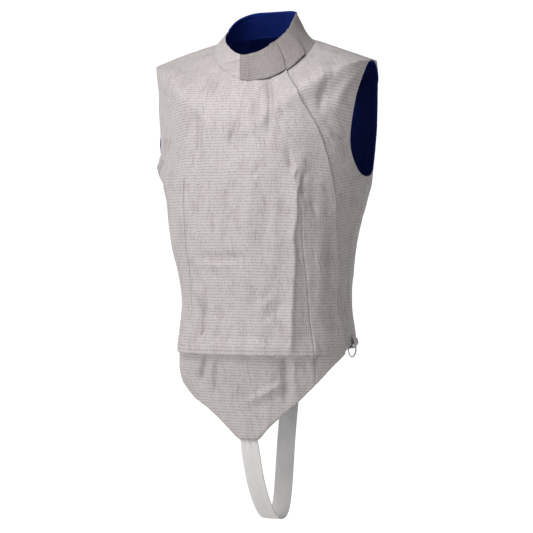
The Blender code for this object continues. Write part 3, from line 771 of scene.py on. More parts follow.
@dataclass(frozen=True)
class RowPlan:
    """The rows that every cloth grid shares, so that pieces meet at their seams.

    Attributes:
        counts: rows down the shoulder, the armhole, the side, the waist and the apron.
        fold_share: how far down from the waist to the hem the fold's row lies at least.
        armhole_even: share of the armhole's rows that are spread evenly.
    """

    form: VestForm
    edges: PatternEdges
    counts: tuple[int, ...] = (34, 56, 64, 30, 44)
    fold_share: float = 0.78
    waist_crowding: float = 1.7
    apron_crowding: float = 1.6
    armhole_even: float = 0.35

    @property
    def count(self) -> int:
        """How many rows there are."""
        return sum(self.counts) + 1

    @staticmethod
    def hem_height(angle: Array) -> Array:
        """Give the height of the hem."""
        return read_softly(FRONT_HEM, angle, 3.0)

    def fold_height(self, angle: Array) -> Array:
        """Give the height of the row that follows the belly fold."""
        hem = self.hem_height(angle)
        return np.maximum(BELLY_FOLD_HEIGHT, WAIST_HEIGHT + self.fold_share * (hem - WAIST_HEIGHT))

    def level(self, row: Array, angle: Array) -> Array:
        """Give the level of each row.

        Between the neck seam and the shoulder tip the rows are spread by level, down the
        armhole by height with a cosine, and from the waist to the fold and the hem by
        height, closer together beside the fold and the hem.

        Args:
            row: row number, which may be a broken one.
            angle: in degrees.

        Returns:
            Levels.
        """
        row, angle = np.broadcast_arrays(np.asarray(row, dtype=float), np.asarray(angle, dtype=float))
        ends = np.cumsum((0, *self.counts))
        share = [np.clip((row - a) / (b - a), 0, 1) for a, b in zip(ends, ends[1:])]
        neck = self.edges.neck_level(angle)
        even = self.armhole_even
        drop = even * share[1] + (1 - even) * (1 - np.cos(math.pi * share[1])) / 2
        fold = self.fold_height(angle)
        waist_share = 1 - (1 - share[3])**self.waist_crowding
        apron_share = share[4]**self.apron_crowding
        level_at = self.form.level_at
        parts = (
            neck + (SHOULDER_TIP_LEVEL - neck) * share[0],
            level_at(SHOULDER_TIP_HEIGHT + (UNDERARM_HEIGHT - SHOULDER_TIP_HEIGHT) * drop),
            UNDERARM_LEVEL + (WAIST_LEVEL - UNDERARM_LEVEL) * share[2],
            level_at(WAIST_HEIGHT + (fold - WAIST_HEIGHT) * waist_share),
            level_at(fold + (self.hem_height(angle) - fold) * apron_share),
        )
        return np.select([row <= end for end in ends[1:-1]], parts[:-1], parts[-1])

    def solve(self, edge: Edge) -> Array:
        """Find the angle at which an edge, given by level, crosses every row.

        Args:
            edge: gives the edge's angle at a level.

        Returns:
            An angle for each row.
        """
        rows = np.arange(self.count)
        angle = np.full(self.count, 80.0)
        for _ in range(12):
            angle = edge(self.level(rows, angle))
        return angle


class Rounding(Enum):
    """What happens at one side of a cloth piece."""

    HEM = "turned edge"
    SEAM = "seam"
    NONE = "runs on"


def crowd(count: int, start: bool, end: bool) -> Array:
    """Spread shares from 0 to 1, closer together at the ends that ask for it.

    The share is t - k sin(2 pi t) / (2 pi) where both ends ask, and a mix of t and t^2
    where one does.

    Args:
        count: how many steps.
        start: crowd them at the start.
        end: crowd them at the end.

    Returns:
        The shares, one more than count.
    """
    pull, plain = 0.8, 0.35
    even = np.linspace(0, 1, count + 1)
    if start and end:
        return even - pull * np.sin(2 * math.pi * even) / (2 * math.pi)
    if start:
        return plain * even + (1 - plain) * even**2
    if end:
        return 1 - (plain * (1 - even) + (1 - plain) * (1 - even)**2)
    return even


def make_mesh(name: str, points: Array, faces: Array, uv: Array | None = None) -> Piece:
    """Make an object from points and faces.

    Args:
        name: the object's name.
        points: places in metres, one row each.
        faces: point numbers, one row for each face.
        uv: a place on the cloth for every point, in metres.

    Returns:
        The object, linked to the scene.
    """
    mesh = bpy.data.meshes.new(name)
    count, sides = faces.shape
    mesh.vertices.add(len(points))
    mesh.vertices.foreach_set("co", points.astype(np.float32).ravel())
    mesh.loops.add(count * sides)
    mesh.loops.foreach_set("vertex_index", faces.astype(np.int32).ravel())
    mesh.polygons.add(count)
    mesh.polygons.foreach_set("loop_start", np.arange(0, count * sides, sides, dtype=np.int32))
    mesh.polygons.foreach_set("loop_total", np.full(count, sides, dtype=np.int32))
    mesh.polygons.foreach_set("use_smooth", np.ones(count, dtype=bool))
    if uv is not None:
        layer = mesh.uv_layers.new(name="cloth")
        layer.data.foreach_set("uv", uv[faces.ravel()].astype(np.float32).ravel())
    mesh.update()
    mesh.validate()
    piece = bpy.data.objects.new(name, mesh)
    bpy.context.scene.collection.objects.link(piece)
    return piece


def grid_faces(rows: int, columns: int, around: bool = False, along: bool = False) -> Array:
    """Number the four corners of every face of a grid.

    Args:
        rows: points down the grid.
        columns: points across it.
        around: join the last column to the first.
        along: join the last row to the first.

    Returns:
        One row of four point numbers for each face.
    """
    numbers = np.arange(rows * columns).reshape(rows, columns)
    if around:
        numbers = np.concatenate((numbers, numbers[:, :1]), axis=1)
    if along:
        numbers = np.concatenate((numbers, numbers[:1]), axis=0)
    return np.stack((
        numbers[:-1, :-1], numbers[1:, :-1], numbers[1:, 1:], numbers[:-1, 1:],
    ), axis=-1).reshape(-1, 4)


def arc_lengths(points: Array, axis: int) -> Array:
    """Add up the distance between neighbours along one direction of a line or a grid.

    Args:
        points: the places.
        axis: the direction to add along.

    Returns:
        The length up to each point.
    """
    steps = np.linalg.norm(np.diff(points, axis=axis), axis=-1)
    pad = [(int(number == axis), 0) for number in range(steps.ndim)]
    return np.pad(np.cumsum(steps, axis=axis), pad)


def cloth_mesh(
        name: str, points: Array, uv: Array, wall: float, offset: float = -1.0) -> Piece:
    """Make a sheet with its wall from a grid of points.

    Args:
        name: the piece's name.
        points: a grid of places in millimetres.
        uv: the place on the cloth of each, in metres.
        wall: the sheet's thickness in millimetres.
        offset: -1 for a wall that goes in from the points, 1 for one that goes out.

    Returns:
        The piece.
    """
    piece = make_mesh(
        name, points.reshape(-1, 3) * MM, grid_faces(*points.shape[:2]), uv.reshape(-1, 2))
    solid = piece.modifiers.new("wall", "SOLIDIFY")
    solid.thickness = wall * MM
    solid.offset = offset
    solid.use_rim = True
    solid.use_even_offset = False
    return piece


def laid_flat(points: Array, grain: float = 0.0) -> Array:
    """Give places on the cloth, in metres: lengths across, and down with the grain's slope."""
    across = arc_lengths(points, 1)
    return np.stack((across, arc_lengths(points, 0) + grain * across), axis=-1) * MM


def tube(path: Array, first: Array, second: Array, radius: Array | float, sides: int) -> Array:
    """Carry a circle along paths: path + radius * (first * cos t - second * sin t).

    Args:
        path: points of the paths.
        first: one direction across the path at each point.
        second: the other, which is the path's direction crossed with the first.
        radius: the circle's radius.
        sides: points round the circle.

    Returns:
        Points, with one more axis for the circle.
    """
    turns = np.linspace(0, 2 * math.pi, sides, endpoint=False)[:, None]
    circle = first[..., None, :] * np.cos(turns) - second[..., None, :] * np.sin(turns)
    return path[..., None, :] + circle * radius


class Socket:
    """A shader value that can be used in sums, each of which adds its Math node."""

    def __init__(self, board: Board, socket: bpy.types.NodeSocket) -> None:
        """Wrap one output socket of a board."""
        self.board = board
        self.socket = socket

    def _math(self, operation: str, *values: Socket | float) -> Socket:
        """Add a Math node."""
        return self.board.node("Math", {"operation": operation}, dict(enumerate(values)))

    def __add__(self, other: Socket | float) -> Socket:
        """Add."""
        return self._math("ADD", self, other)

    __radd__ = __add__

    def __sub__(self, other: Socket | float) -> Socket:
        """Take away."""
        return self._math("SUBTRACT", self, other)

    def __rsub__(self, other: float) -> Socket:
        """Take this away from a number."""
        return self._math("SUBTRACT", other, self)

    def __mul__(self, other: Socket | float) -> Socket:
        """Multiply."""
        return self._math("MULTIPLY", self, other)

    __rmul__ = __mul__

    def __pow__(self, other: float) -> Socket:
        """Raise to a power."""
        return self._math("POWER", self, other)

    def wave(self, period: float) -> Socket:
        """Give a wave from 0 to 1 that repeats after a period: (1 - cos(2 pi x / p)) / 2."""
        return 0.5 - 0.5 * self._math("COSINE", self * (2 * math.pi / period))

    def bounded(self) -> Socket:
        """Keep the value between 0 and 1."""
        return self.board.node("Clamp", {}, {"Value": self})

    def step(self, low: float, high: float) -> Socket:
        """Rise smoothly from 0 at low to 1 at high."""
        settings = {"interpolation_type": "SMOOTHSTEP"}
        return self.board.node(
            "MapRange", settings, {"Value": self, "From Min": low, "From Max": high})


class Board:
    """The nodes of a material or a world, made by short calls."""

    def __init__(self, name: str) -> None:
        """Make a material with an empty Principled shader.

        Args:
            name: its name.
        """
        self.material = bpy.data.materials.new(name)
        self.material.use_nodes = True
        self.tree = self.material.node_tree
        self.shader = self.tree.nodes["Principled BSDF"]

    @classmethod
    def on(cls, tree: bpy.types.NodeTree, shader: str) -> Board:
        """Take a tree that is there already.

        Args:
            tree: the tree.
            shader: the name of its shader's node.

        Returns:
            Its board.
        """
        board = cls.__new__(cls)
        board.tree = tree
        board.shader = tree.nodes[shader]
        return board

    def node(self, kind: str, settings: dict, values: dict, output: int | str = 0) -> Socket:
        """Add a node.

        Args:
            kind: the node's type.
            settings: its own options, set first.
            values: a number, colour or link for each input, by name or number.
            output: the output to give back.

        Returns:
            That output, wrapped.
        """
        node = self.tree.nodes.new("ShaderNode" + kind)
        for key, value in settings.items():
            setattr(node, key, value)
        for key, value in values.items():
            self.feed(node.inputs[key], value)
        return Socket(self, node.outputs[output])

    def feed(self, target: bpy.types.NodeSocket, value: object) -> None:
        """Set an input, or link it where the value is a socket."""
        if isinstance(value, Socket):
            self.tree.links.new(value.socket, target)
        else:
            target.default_value = value

    def place_on_cloth(self) -> tuple[Socket, Socket, Socket]:
        """Read the place on the cloth, in millimetres.

        Returns:
            The vector, and its distances across and down.
        """
        vector = self.node("UVMap", {"uv_map": "cloth"}, {})
        scaled = self.node(
            "VectorMath", {"operation": "SCALE"}, {0: vector, "Scale": 1 / MM})
        across = self.node("SeparateXYZ", {}, {0: scaled}, "X")
        down = Socket(self, across.socket.node.outputs["Y"])
        return scaled, across, down

    def noise(self, vector: Socket, scale: float, detail: float = 2.0, rough: float = 0.5) -> Socket:
        """Give a noise from 0 to 1 whose grain has the size 1 / scale."""
        values = {"Vector": vector, "Scale": scale, "Detail": detail, "Roughness": rough}
        return self.node("TexNoise", {"noise_dimensions": "3D"}, values)

    def grain(self, place: Socket, across: float, down: float, detail: float = 2.0,
              rough: float = 0.5) -> Socket:
        """Give a noise from 0 to 1 with so many grains to a millimetre across and down."""
        return self.noise(self.stretch(place, (across, down, 1.0)), 1.0, detail, rough)

    def mix(self, share: Socket, first: Colour | Socket, second: Colour | Socket) -> Socket:
        """Mix two colours by a share.

        Args:
            share: 0 for the first colour, 1 for the second.
            first: one colour.
            second: the other.

        Returns:
            The mixed colour.
        """
        colours = (one if isinstance(one, Socket) else (*one, 1.0) for one in (first, second))
        settings = {"data_type": "RGBA", "clamp_factor": True}
        factor, colour_a, colour_b, result = 0, 6, 7, 2
        values = dict(zip((factor, colour_a, colour_b), (share, *colours)))
        return self.node("Mix", settings, values, result)

    def stretch(self, vector: Socket, scale: tuple[float, float, float]) -> Socket:
        """Stretch the place by a number for each direction."""
        return self.node("VectorMath", {"operation": "MULTIPLY"}, {0: vector, 1: scale})

    def bump(self, height: Socket, distance: float, strength: float = 1.0) -> None:
        """Let a height bend the surface's light."""
        normal = self.node(
            "Bump", {}, {"Height": height, "Distance": distance, "Strength": strength})
        self.feed(self.shader.inputs["Normal"], normal)

    def set(self, **values: object) -> None:
        """Set the shader's own inputs, named with spaces as underscores."""
        for key, value in values.items():
            self.feed(self.shader.inputs[key.replace("_", " ")], value)


@dataclass(frozen=True)
class SilverCloth:
    """Conductive weave: cotton and steel threads in rows, with a fine check.

    Attributes:
        tint: colour of its faint warmer patches.
        rib: distance from row to row.
        line: distance between the upright lines.
        check: distance between the fine threads.
    """

    name: str = "silver_cloth"
    light: Colour = (0.49, 0.456, 0.452)
    dark: Colour = (0.25, 0.218, 0.214)
    tint: Colour = (0.44, 0.395, 0.40)
    rib: float = 4.3
    line: float = 3.3
    check: float = 1.1
    metallic: float = 0.25
    roughness: float = 0.62

    def make(self) -> Finish:
        """Make the material.

        Returns:
            The material.
        """
        board = Board(self.name)
        place, across, down = board.place_on_cloth()
        sway = board.grain(place, 0.02, 0.05, 1.0)
        row = (down + (sway - 0.5) * 2.0).wave(self.rib)
        upright = (across + (sway - 0.5) * 5.0).wave(self.line)
        dashes = board.grain(place, 0.20, 0.42, 2.0, 0.6)
        strands = board.grain(place, 0.46, 0.10, 2.0, 0.6)
        dark_row = (row ** 2.0) * dashes.step(0.26, 0.58)
        dark_line = (upright ** 2.0) * strands.step(0.36, 0.66)
        check = across.wave(self.check) * down.wave(self.check)
        speckle = board.grain(place, 0.62, 0.62, 2.0, 0.7)
        cloud = board.grain(place, 0.020, 0.012, 3.0, 0.55)
        patch = board.grain(place, 0.045, 0.03, 1.0)
        streaks = board.grain(place, 0.22, 0.026, 1.0)
        # Narrow streaks in patches that sink in the bump and darken the colour: painted shade in the
        # creases of small puckers.
        pucker_and_painted_shade = streaks.step(0.52, 0.72) * patch.step(0.38, 0.60)
        # The darkening mixes the weave's rows, lines and check, speckle, clouds and the painted pucker
        # shade.
        shade = (
            0.54 * dark_row + 0.46 * dark_line + 0.08 * check + 0.70 * (speckle - 0.5)
            + 0.14 * (cloud - 0.5) + 0.22 * pucker_and_painted_shade + 0.05
        )
        pale = board.mix(0.7 * patch.step(0.52, 0.72), self.light, self.tint)
        colour = board.mix(shade.bounded(), pale, self.dark)
        board.set(
            Base_Color=colour, Roughness=(self.roughness + 0.16 * (speckle - 0.5)),
            Metallic=self.metallic)
        relief = 0.5 * row + 0.35 * upright + 0.2 * check + 0.6 * speckle + 2.0 * pucker_and_painted_shade
        board.bump(relief * -1.0, 0.25 * MM, 0.6)
        return board.material


@dataclass(frozen=True)
class BlueLining:
    """Plain woven lining, deep blue with a faint sheen."""

    name: str = "blue_lining"
    light: Colour = (0.004, 0.020, 0.19)
    dark: Colour = (0.0, 0.006, 0.075)
    thread: float = 0.9

    def make(self) -> Finish:
        """Make the material.

        Returns:
            The material.
        """
        board = Board(self.name)
        place, across, down = board.place_on_cloth()
        weave = across.wave(self.thread) * (1 - down.wave(self.thread))
        cloud = board.grain(place, 0.02, 0.02, 3.0)
        speckle = board.noise(place, 0.8, 2.0, 0.7)
        shade = (0.45 + 0.9 * (cloud - 0.5) + 0.3 * (speckle - 0.5) + 0.2 * weave).bounded()
        board.set(
            Base_Color=board.mix(shade, self.dark, self.light), Roughness=0.72,
            Specular_IOR_Level=0.15)
        board.bump(weave + speckle, 0.12 * MM, 0.4)
        return board.material


@dataclass(frozen=True)
class ElasticWebbing:
    """White ribbed elastic: cords along it and fine wefts across."""

    name: str = "white_elastic"
    light: Colour = (0.66, 0.645, 0.635)
    dark: Colour = (0.42, 0.405, 0.40)
    cord: float = 2.5
    weft: float = 1.1

    def make(self) -> Finish:
        """Make the material.

        Returns:
            The material.
        """
        board = Board(self.name)
        place, across, down = board.place_on_cloth()
        cords = across.wave(self.cord)
        wefts = down.wave(self.weft)
        cloud = board.grain(place, 0.05, 0.03, 3.0)
        fuzz = board.noise(place, 0.9, 2.0, 0.7)
        shade = 0.30 * cords + 0.12 * wefts + 0.5 * (cloud - 0.5) + 0.3 * (fuzz - 0.5) + 0.12
        board.set(Base_Color=board.mix(shade.bounded(), self.light, self.dark), Roughness=0.78)
        board.bump((1 - cords) + 0.4 * wefts, 0.25 * MM, 0.6)
        return board.material


@dataclass(frozen=True)
class SewingThread:
    """Polyester thread, close to the cloth's own grey."""

    name: str = "sewing_thread"
    light: Colour = (0.56, 0.53, 0.51)
    dark: Colour = (0.36, 0.34, 0.33)
    ply: float = 900.0

    def make(self) -> Finish:
        """Make the material.

        Returns:
            The material.
        """
        board = Board(self.name)
        place = board.node("TexCoord", {}, {}, "Object")
        fuzz = board.noise(place, self.ply, 2.0, 0.6)
        board.set(Base_Color=board.mix(fuzz, self.dark, self.light), Roughness=0.6)
        board.bump(fuzz, 0.08 * MM, 0.5)
        return board.material


@dataclass(frozen=True)
class RingSteel:
    """Nickel-plated wire with a little wear."""

    name: str = "ring_steel"
    bright: Colour = (0.52, 0.51, 0.50)
    worn: Colour = (0.30, 0.29, 0.285)

    def make(self) -> Finish:
        """Make the material.

        Returns:
            The material.
        """
        board = Board(self.name)
        place = board.node("TexCoord", {}, {}, "Object")
        wear = board.noise(place, 320.0, 4.0, 0.6)
        scratches = board.noise(board.stretch(place, (1.0, 0.25, 1.0)), 2400.0, 2.0)
        board.set(
            Base_Color=board.mix(wear.step(0.45, 0.8), self.bright, self.worn), Metallic=1.0,
            Roughness=0.24 + 0.22 * wear.step(0.4, 0.8))
        board.bump(scratches, 0.02 * MM, 0.3)
        return board.material


class Wardrobe:
    """The finishes, made once, and the way that a piece is dressed in one."""

    def __init__(self) -> None:
        """Make every finish."""
        self.silver = SilverCloth().make()
        # A darker copy of the silver cloth for the straight-grain collar pieces: painted shade for
        # their weaker sheen.
        self.straight = SilverCloth(
            "silver_cloth_painted_shade", (0.27, 0.243, 0.237), (0.145, 0.125, 0.121), (0.23, 0.202, 0.197)
        ).make()
        self.blue = BlueLining().make()
        self.elastic = ElasticWebbing().make()
        self.thread = SewingThread().make()
        self.steel = RingSteel().make()

    @staticmethod
    def dress(
            piece: Piece, finish: Finish, slot: str, body: str = "vest",
            node: str | None = None) -> Piece:
        """Give a piece its finish and its body, and hide the solid that it stands for.

        Args:
            piece: what is dressed.
            finish: its material.
            slot: the record's slot; not used.
            body: the body that it rides on.
            node: the solid that it replaces.

        Returns:
            The same piece.
        """
        piece.data.materials.clear()
        piece.data.materials.append(finish)
        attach(piece, body)
        if node:
            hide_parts(node)
        LOG.info("%s: %d faces", piece.name, len(piece.data.polygons))
        return piece


@dataclass
class ClothPanel:
    """One cut piece of cloth on the vest's form.

    Attributes:
        sides: the pattern lines it runs between, from its smallest angle to its largest.
        columns: how many lie between each pair of lines.
        crowded: whether they crowd at each of the lines.
        grain: how much its rows of threads drop for each step across.
        roundings: what happens at its first and last side.
        hem_round: radius of its turned edges.
    """

    name: str
    form: VestForm
    edges: PatternEdges
    rows: RowPlan
    sides: tuple[Edge, ...]
    columns: tuple[int, ...]
    crowded: tuple[bool, ...]
    offset: float
    creases: tuple[Crease, ...]
    wall: float = 0.9
    grain: float = 0.0
    lift: Relief | None = None
    roundings: tuple[Rounding, Rounding] = (Rounding.NONE, Rounding.NONE)
    hem_round: float = 1.0
    seam_round: float = 0.7

    def layout(self) -> tuple[Array, Array]:
        """Lay out the panel's points.

        Returns:
            Their angles and levels.
        """
        stops = [self.rows.solve(side) for side in self.sides]
        parts = [stops[0][:, None]]
        pairs = zip(stops, stops[1:], self.columns, self.crowded, self.crowded[1:])
        for start, end, count, crowd_start, crowd_end in pairs:
            share = crowd(count, crowd_start, crowd_end)[1:]
            parts.append(start[:, None] + (end - start)[:, None] * share[None, :])
        angles = np.concatenate(parts, axis=1)
        return angles, self.rows.level(np.arange(self.rows.count)[:, None], angles)

    def surface(self) -> tuple[Array, Array]:
        """Shape the panel's outer face.

        Returns:
            Its points in millimetres, and their places on the cloth.
        """
        angles, levels = self.layout()
        points, normals, out = self.form.relief(angles, levels, self.creases)
        droop = self.form.droop(wrap(angles), points[..., 2])
        if self.lift is not None:
            out = out + self.lift(angles, levels)
        flat = points + normals * out[..., None]
        across = arc_lengths(flat, 1)
        down = arc_lengths(flat, 0)
        out = out - self.rounding(across, down)
        place = points + normals * (out + self.offset)[..., None]
        place[..., 2] -= droop
        return place, self.cloth_place(flat, across, down, angles)

    def rounding(self, across: Array, down: Array) -> Array:
        """Give how far the cloth rolls in at its hem and its sides.

        Args:
            across: distance along each row from its first column.
            down: distance down each column from the top.

        Returns:
            Distances in millimetres.
        """
        radii = {Rounding.HEM: self.hem_round, Rounding.SEAM: self.seam_round}
        total = rolled_edge(down[-1:] - down, self.hem_round)
        for kind, distance in zip(self.roundings, (across, across[:, -1:] - across)):
            if kind in radii:
                total = total + rolled_edge(distance, radii[kind])
        return total

    def cloth_place(self, flat: Array, across: Array, down: Array, angles: Array) -> Array:
        """Lay the cloth's threads: distances across and down the panel, in metres.

        Args:
            flat: the panel's points.
            across: distance along each row from its first column.
            down: distance down each column from the top.
            angles: in degrees.

        Returns:
            A place on the cloth for each point.
        """
        middle = 180.0 if angles.mean() > 120 else float(np.clip(0.0, angles.min(), angles.max()))
        column = np.argmin(np.abs(angles - middle), axis=1)
        centre = np.take_along_axis(across, column[:, None], axis=1)
        waist_row = int(np.argmin(np.abs(flat[:, :, 2].mean(axis=1) - WAIST_HEIGHT)))
        above = down[waist_row][None, :] - down
        height = np.where(flat[..., 2] > WAIST_HEIGHT, WAIST_HEIGHT + above, flat[..., 2])
        side = across - centre
        return np.stack((side, -height + self.grain * side), axis=-1) * MM

    def build(self) -> Piece:
        """Make the panel's mesh with its wall."""
        points, uv = self.surface()
        return cloth_mesh(self.name, points, uv, self.wall)


@dataclass
class Vest:
    """The fronts, the back and their linings.

    Attributes:
        face: how far the cloth's outer face lies from the form.
        lift: how far the flap is lifted off what lies under it.
        flap_edge: how much further its thick free edge stands off.
        ramp: how far before the underlap the lift begins and ends.
        right_dart: depths at which the right dart opens and closes again.
        left_dart: the same for the left one, which runs on to the hem.
        groove: height and width of a groove's swell, depth and width of its valley.
        dart_room: how far in the lining keeps behind a dart, and how far to its sides.
        neck_groove: depth and width of the sunk neck seam.
        lining_rolls: how far the lining rolls out at the right front and the left back.
        lining_reach: how far it reaches past the cloth's edge there.
        peep: depths between which the right armhole shows its lining.
    """

    wardrobe: Wardrobe
    form: VestForm = field(default_factory=VestForm)
    edges: PatternEdges = field(init=False)
    rows: RowPlan = field(init=False)
    face: float = 1.2
    lift: float = 1.8
    flap_edge: float = 0.8
    edge_width: float = 9.0
    ramp: Pair = (16.0, 3.0)
    right_dart: tuple[float, ...] = (196.0, 212.0, 385.0, 425.0)
    left_dart: Pair = (236.0, 258.0)
    dart_depths: Pair = (1.1, 0.7)
    groove: tuple[float, ...] = (0.3, 4.5, 1.9, 0.9)
    dart_room: Pair = (2.2, 6.0)
    neck_groove: Pair = (1.6, 1.8)
    neck_shown: Pair = (16.0, 30.0)
    lining_face: float = -1.0
    lining_wall: float = 0.8
    level_drop: float = 38.0
    lining_rolls: Pair = (3.9, 2.5)
    lining_reach: Pair = (1.6, 0.8)
    roll_width: Pair = (-0.3, 1.4)
    peep: tuple[float, ...] = (118.0, 150.0, 184.0, 198.0)
    armhole_end: Pair = (2.0, 12.0)

    def __post_init__(self) -> None:
        """Share the form with the pattern's lines and rows."""
        self.edges = PatternEdges(self.form)
        self.rows = RowPlan(self.form, self.edges)

    def raised(self, angles: Array, levels: Array) -> Array:
        """Give how much of the flap's lift it has at each place: none, then all of it."""
        hidden = self.edges.underlap_edge(levels)
        return smooth_step(angles, hidden - self.ramp[0], hidden - self.ramp[1])

    def flap_lift(self, angles: Array, levels: Array) -> Array:
        """Lift the flap clear of what it lies on, a little more at its thick free edge.

        Args:
            angles: in degrees.
            levels: the form's levels.

        Returns:
            Distances out in millimetres.
        """
        edge = self.edges.overlap(levels)
        start = edge - self.form.turn(edge, levels, self.edge_width)
        near_edge = smooth_step(angles, start, edge)
        return self.lift * self.raised(angles, levels) + self.flap_edge * near_edge

    def beside(self, angles: Array, levels: Array, line: Array) -> Array:
        """Give the distance across the cloth from a line, in millimetres."""
        point = self.form.point(line, levels)
        return np.radians(angles - line) * np.hypot(point[..., 0], point[..., 1])

    def depth(self, levels: Array) -> Array:
        """Give how far the form's side lies under the shoulder's neck end."""
        return -self.form.side_height(levels)

    def darts(self, levels: Array) -> tuple[tuple[Array, Array], ...]:
        """Trace both darts.

        Args:
            levels: the form's levels.

        Returns:
            The line of each dart, and its depth, which fades at the dart's ends.
        """
        down = self.depth(levels)
        opens, opened, closes, closed = self.right_dart
        right = smooth_step(down, opens, opened) * (1 - smooth_step(down, closes, closed))
        left = smooth_step(down, *self.left_dart)
        return (
            (self.edges.right_dart(levels), self.dart_depths[0] * right),
            (self.edges.left_dart(levels), self.dart_depths[1] * left),
        )

    def flap_relief(self, angles: Array, levels: Array) -> Array:
        """Give the flap's lift with its sewn lines.

        A dart's groove is a narrow valley with a slight swell on both sides. The neck seam
        is sunk a little under the collar's lower edge, where it is open to view.

        Args:
            angles: in degrees.
            levels: the form's levels.

        Returns:
            Distances out in millimetres.
        """
        deep, wide = self.neck_groove
        below = (levels - self.edges.neck_level(angles)) * self.level_drop
        out = self.flap_lift(angles, levels)
        out = out - deep * smooth_step(angles, *self.neck_shown) * bell(below, wide)
        swell, swell_width, valley, valley_width = self.groove
        for line, depth in self.darts(levels):
            away = self.beside(angles, levels, line)
            out = out + depth * (swell * bell(away, swell_width) - valley * bell(away, valley_width))
        return out

    def roll(self, angles: Array, levels: Array, edge: Array, out: Array) -> Array:
        """Roll a lining out over the cloth's first edge, by so many millimetres."""
        return out * (1 - smooth_step(self.beside(angles, levels, edge), *self.roll_width))

    def front_roll(self, angles: Array, levels: Array) -> Array:
        """Roll the flap's lining out at the wearer's right armhole, and in behind the darts.

        Args:
            angles: in degrees.
            levels: the form's levels.

        Returns:
            Distances out in millimetres.
        """
        edge = self.edges.right_front_side(levels)
        room, width = self.dart_room
        out = self.roll(angles, levels, edge, self.lining_rolls[0] * self.peeping(levels))
        for line, depth in self.darts(levels):
            out = out - room * depth * bell(self.beside(angles, levels, line), width)
        return out

    def back_roll(self, angles: Array, levels: Array) -> Array:
        """Roll the back's lining out at the wearer's left armhole."""
        edge = self.edges.left_back_side(levels)
        return self.roll(angles, levels, edge, self.lining_rolls[1] * self.in_armhole(levels))

    def peeping(self, level: Array) -> Array:
        """Give how much of the flap's lining peeps out of the wearer's right armhole.

        Args:
            level: the form's level.

        Returns:
            0 for none of it, 1 for all.
        """
        starts, full, ends, gone = self.peep
        down = self.depth(level)
        return smooth_step(down, starts, full) * (1 - smooth_step(down, ends, gone))

    def in_armhole(self, level: Array) -> Array:
        """Give 1 along an armhole and 0 under it."""
        above = self.form.side_height(level) - UNDERARM_HEIGHT
        return smooth_step(above, *self.armhole_end)

    def past_front_edge(self, level: Array) -> Array:
        """Give the lining's edge, which peeps out past the wearer's right armhole."""
        edge = self.edges.right_front_side(level)
        return edge - self.form.turn(edge, level, self.lining_reach[0]) * self.peeping(level)

    def past_back_edge(self, level: Array) -> Array:
        """Give the lining's edge, just past the back's edge at the wearer's left armhole."""
        edge = self.edges.left_back_side(level)
        return edge - self.form.turn(edge, level, self.lining_reach[1]) * self.in_armhole(level)

    def panel(
            self, name: str, sides: tuple[Edge, ...], columns: tuple[int, ...],
            **options: object) -> ClothPanel:
        """Set out one panel on the shared form and rows, with its columns crowded at every line."""
        shared = {"crowded": (True,) * len(sides), "offset": self.face, "creases": FRONTS}
        return ClothPanel(
            name, self.form, self.edges, self.rows, sides, columns, **{**shared, **options})

    def cloth(self) -> tuple[ClothPanel, ...]:
        """Set out the silver pieces.

        Returns:
            The two fronts and the back.
        """
        edges = self.edges
        hem, seam, runs_on = Rounding.HEM, Rounding.SEAM, Rounding.NONE
        return (
            self.panel(
                "front_flap_cloth",
                (edges.right_front_side, edges.right_dart, edges.left_dart, edges.overlap),
                (42, 84, 30), lift=self.flap_relief, wall=1.6, roundings=(seam, hem)),
            self.panel(
                "front_under_cloth", (edges.underlap_edge, edges.overlap, edges.underlap_side),
                (14, 26), crowded=(False, True, True), grain=0.16, roundings=(runs_on, seam)),
            self.panel(
                "back_cloth", (edges.left_back_side, edges.centre_back, edges.right_back_side),
                (66, 66), crowded=(True, False, True), creases=BACK_CREASES, grain=-0.16,
                roundings=(seam, seam)),
        )

    def linings(self) -> tuple[ClothPanel, ...]:
        """Set out the body's lining.

        Returns:
            The linings of the two fronts and the back.
        """
        edges = self.edges
        inside = {"offset": self.lining_face, "wall": self.lining_wall}
        return (
            self.panel(
                "front_flap_lining", (self.past_front_edge, edges.underlap_edge), (96,),
                crowded=(True, False), lift=self.front_roll, **inside),
            self.panel(
                "front_under_lining", (edges.underlap_edge, edges.overlap, edges.underlap_side),
                (14, 26), crowded=(False, True, True), **inside),
            self.panel(
                "back_lining", (self.past_back_edge, edges.centre_back, edges.right_back_side),
                (56, 48), crowded=(True, False, True), creases=BACK_CREASES, lift=self.back_roll,
                **inside),
        )

    def build(self) -> None:
        """Make and dress the cloth and lining panels, and hide the solid that each replaces."""
        dress = self.wardrobe.dress
        flats = (
            ("front_outer", (0.43, 0.60), 0.198),
            ("front_under", (0.12, 0.46), 0.046),
            ("back", (0.44, 0.50), 0.175),
        )
        for panel, (node, flat, area) in zip(self.cloth(), flats):
            piece = dress(panel.build(), self.wardrobe.silver, "silver_cloth", node=node)
        flats = (
            ("lining_front_right", (0.36, 0.58), 0.16),
            ("lining_front_left", (0.12, 0.46), 0.046),
            ("lining_back", (0.44, 0.50), 0.175),
        )
        for panel, (node, flat, area) in zip(self.linings(), flats):
            piece = dress(panel.build(), self.wardrobe.blue, "blue_lining", node=node)


@dataclass(frozen=True)
class CollarCut:
    """One cut piece of the collar.

    Attributes:
        start: its first angle at the lower edge and at the top edge.
        end: its last angle at both.
        grain: how much its rows of threads drop for each step across.
        low: where its lower edge lies, as a share of the collar's height.
        lapping: whether it lies on the lifted flap.
        proud: how far its last end stands off.
        peep: share by which its top edge rises behind the lapping pieces.
        ends: whether its first and last ends are rolled.
        straight: whether it is cut on the straight grain and takes the darker copy of the silver
        cloth: painted shade for the weaker sheen of that grain.
    """

    name: str
    node: str
    start: Pair
    end: Pair
    flat: Pair
    area: float
    grain: float = 0.0
    low: float = -0.05
    lapping: bool = False
    proud: float = 0.0
    peep: float = 0.0
    ends: tuple[bool, bool] = (False, False)
    straight: bool = True


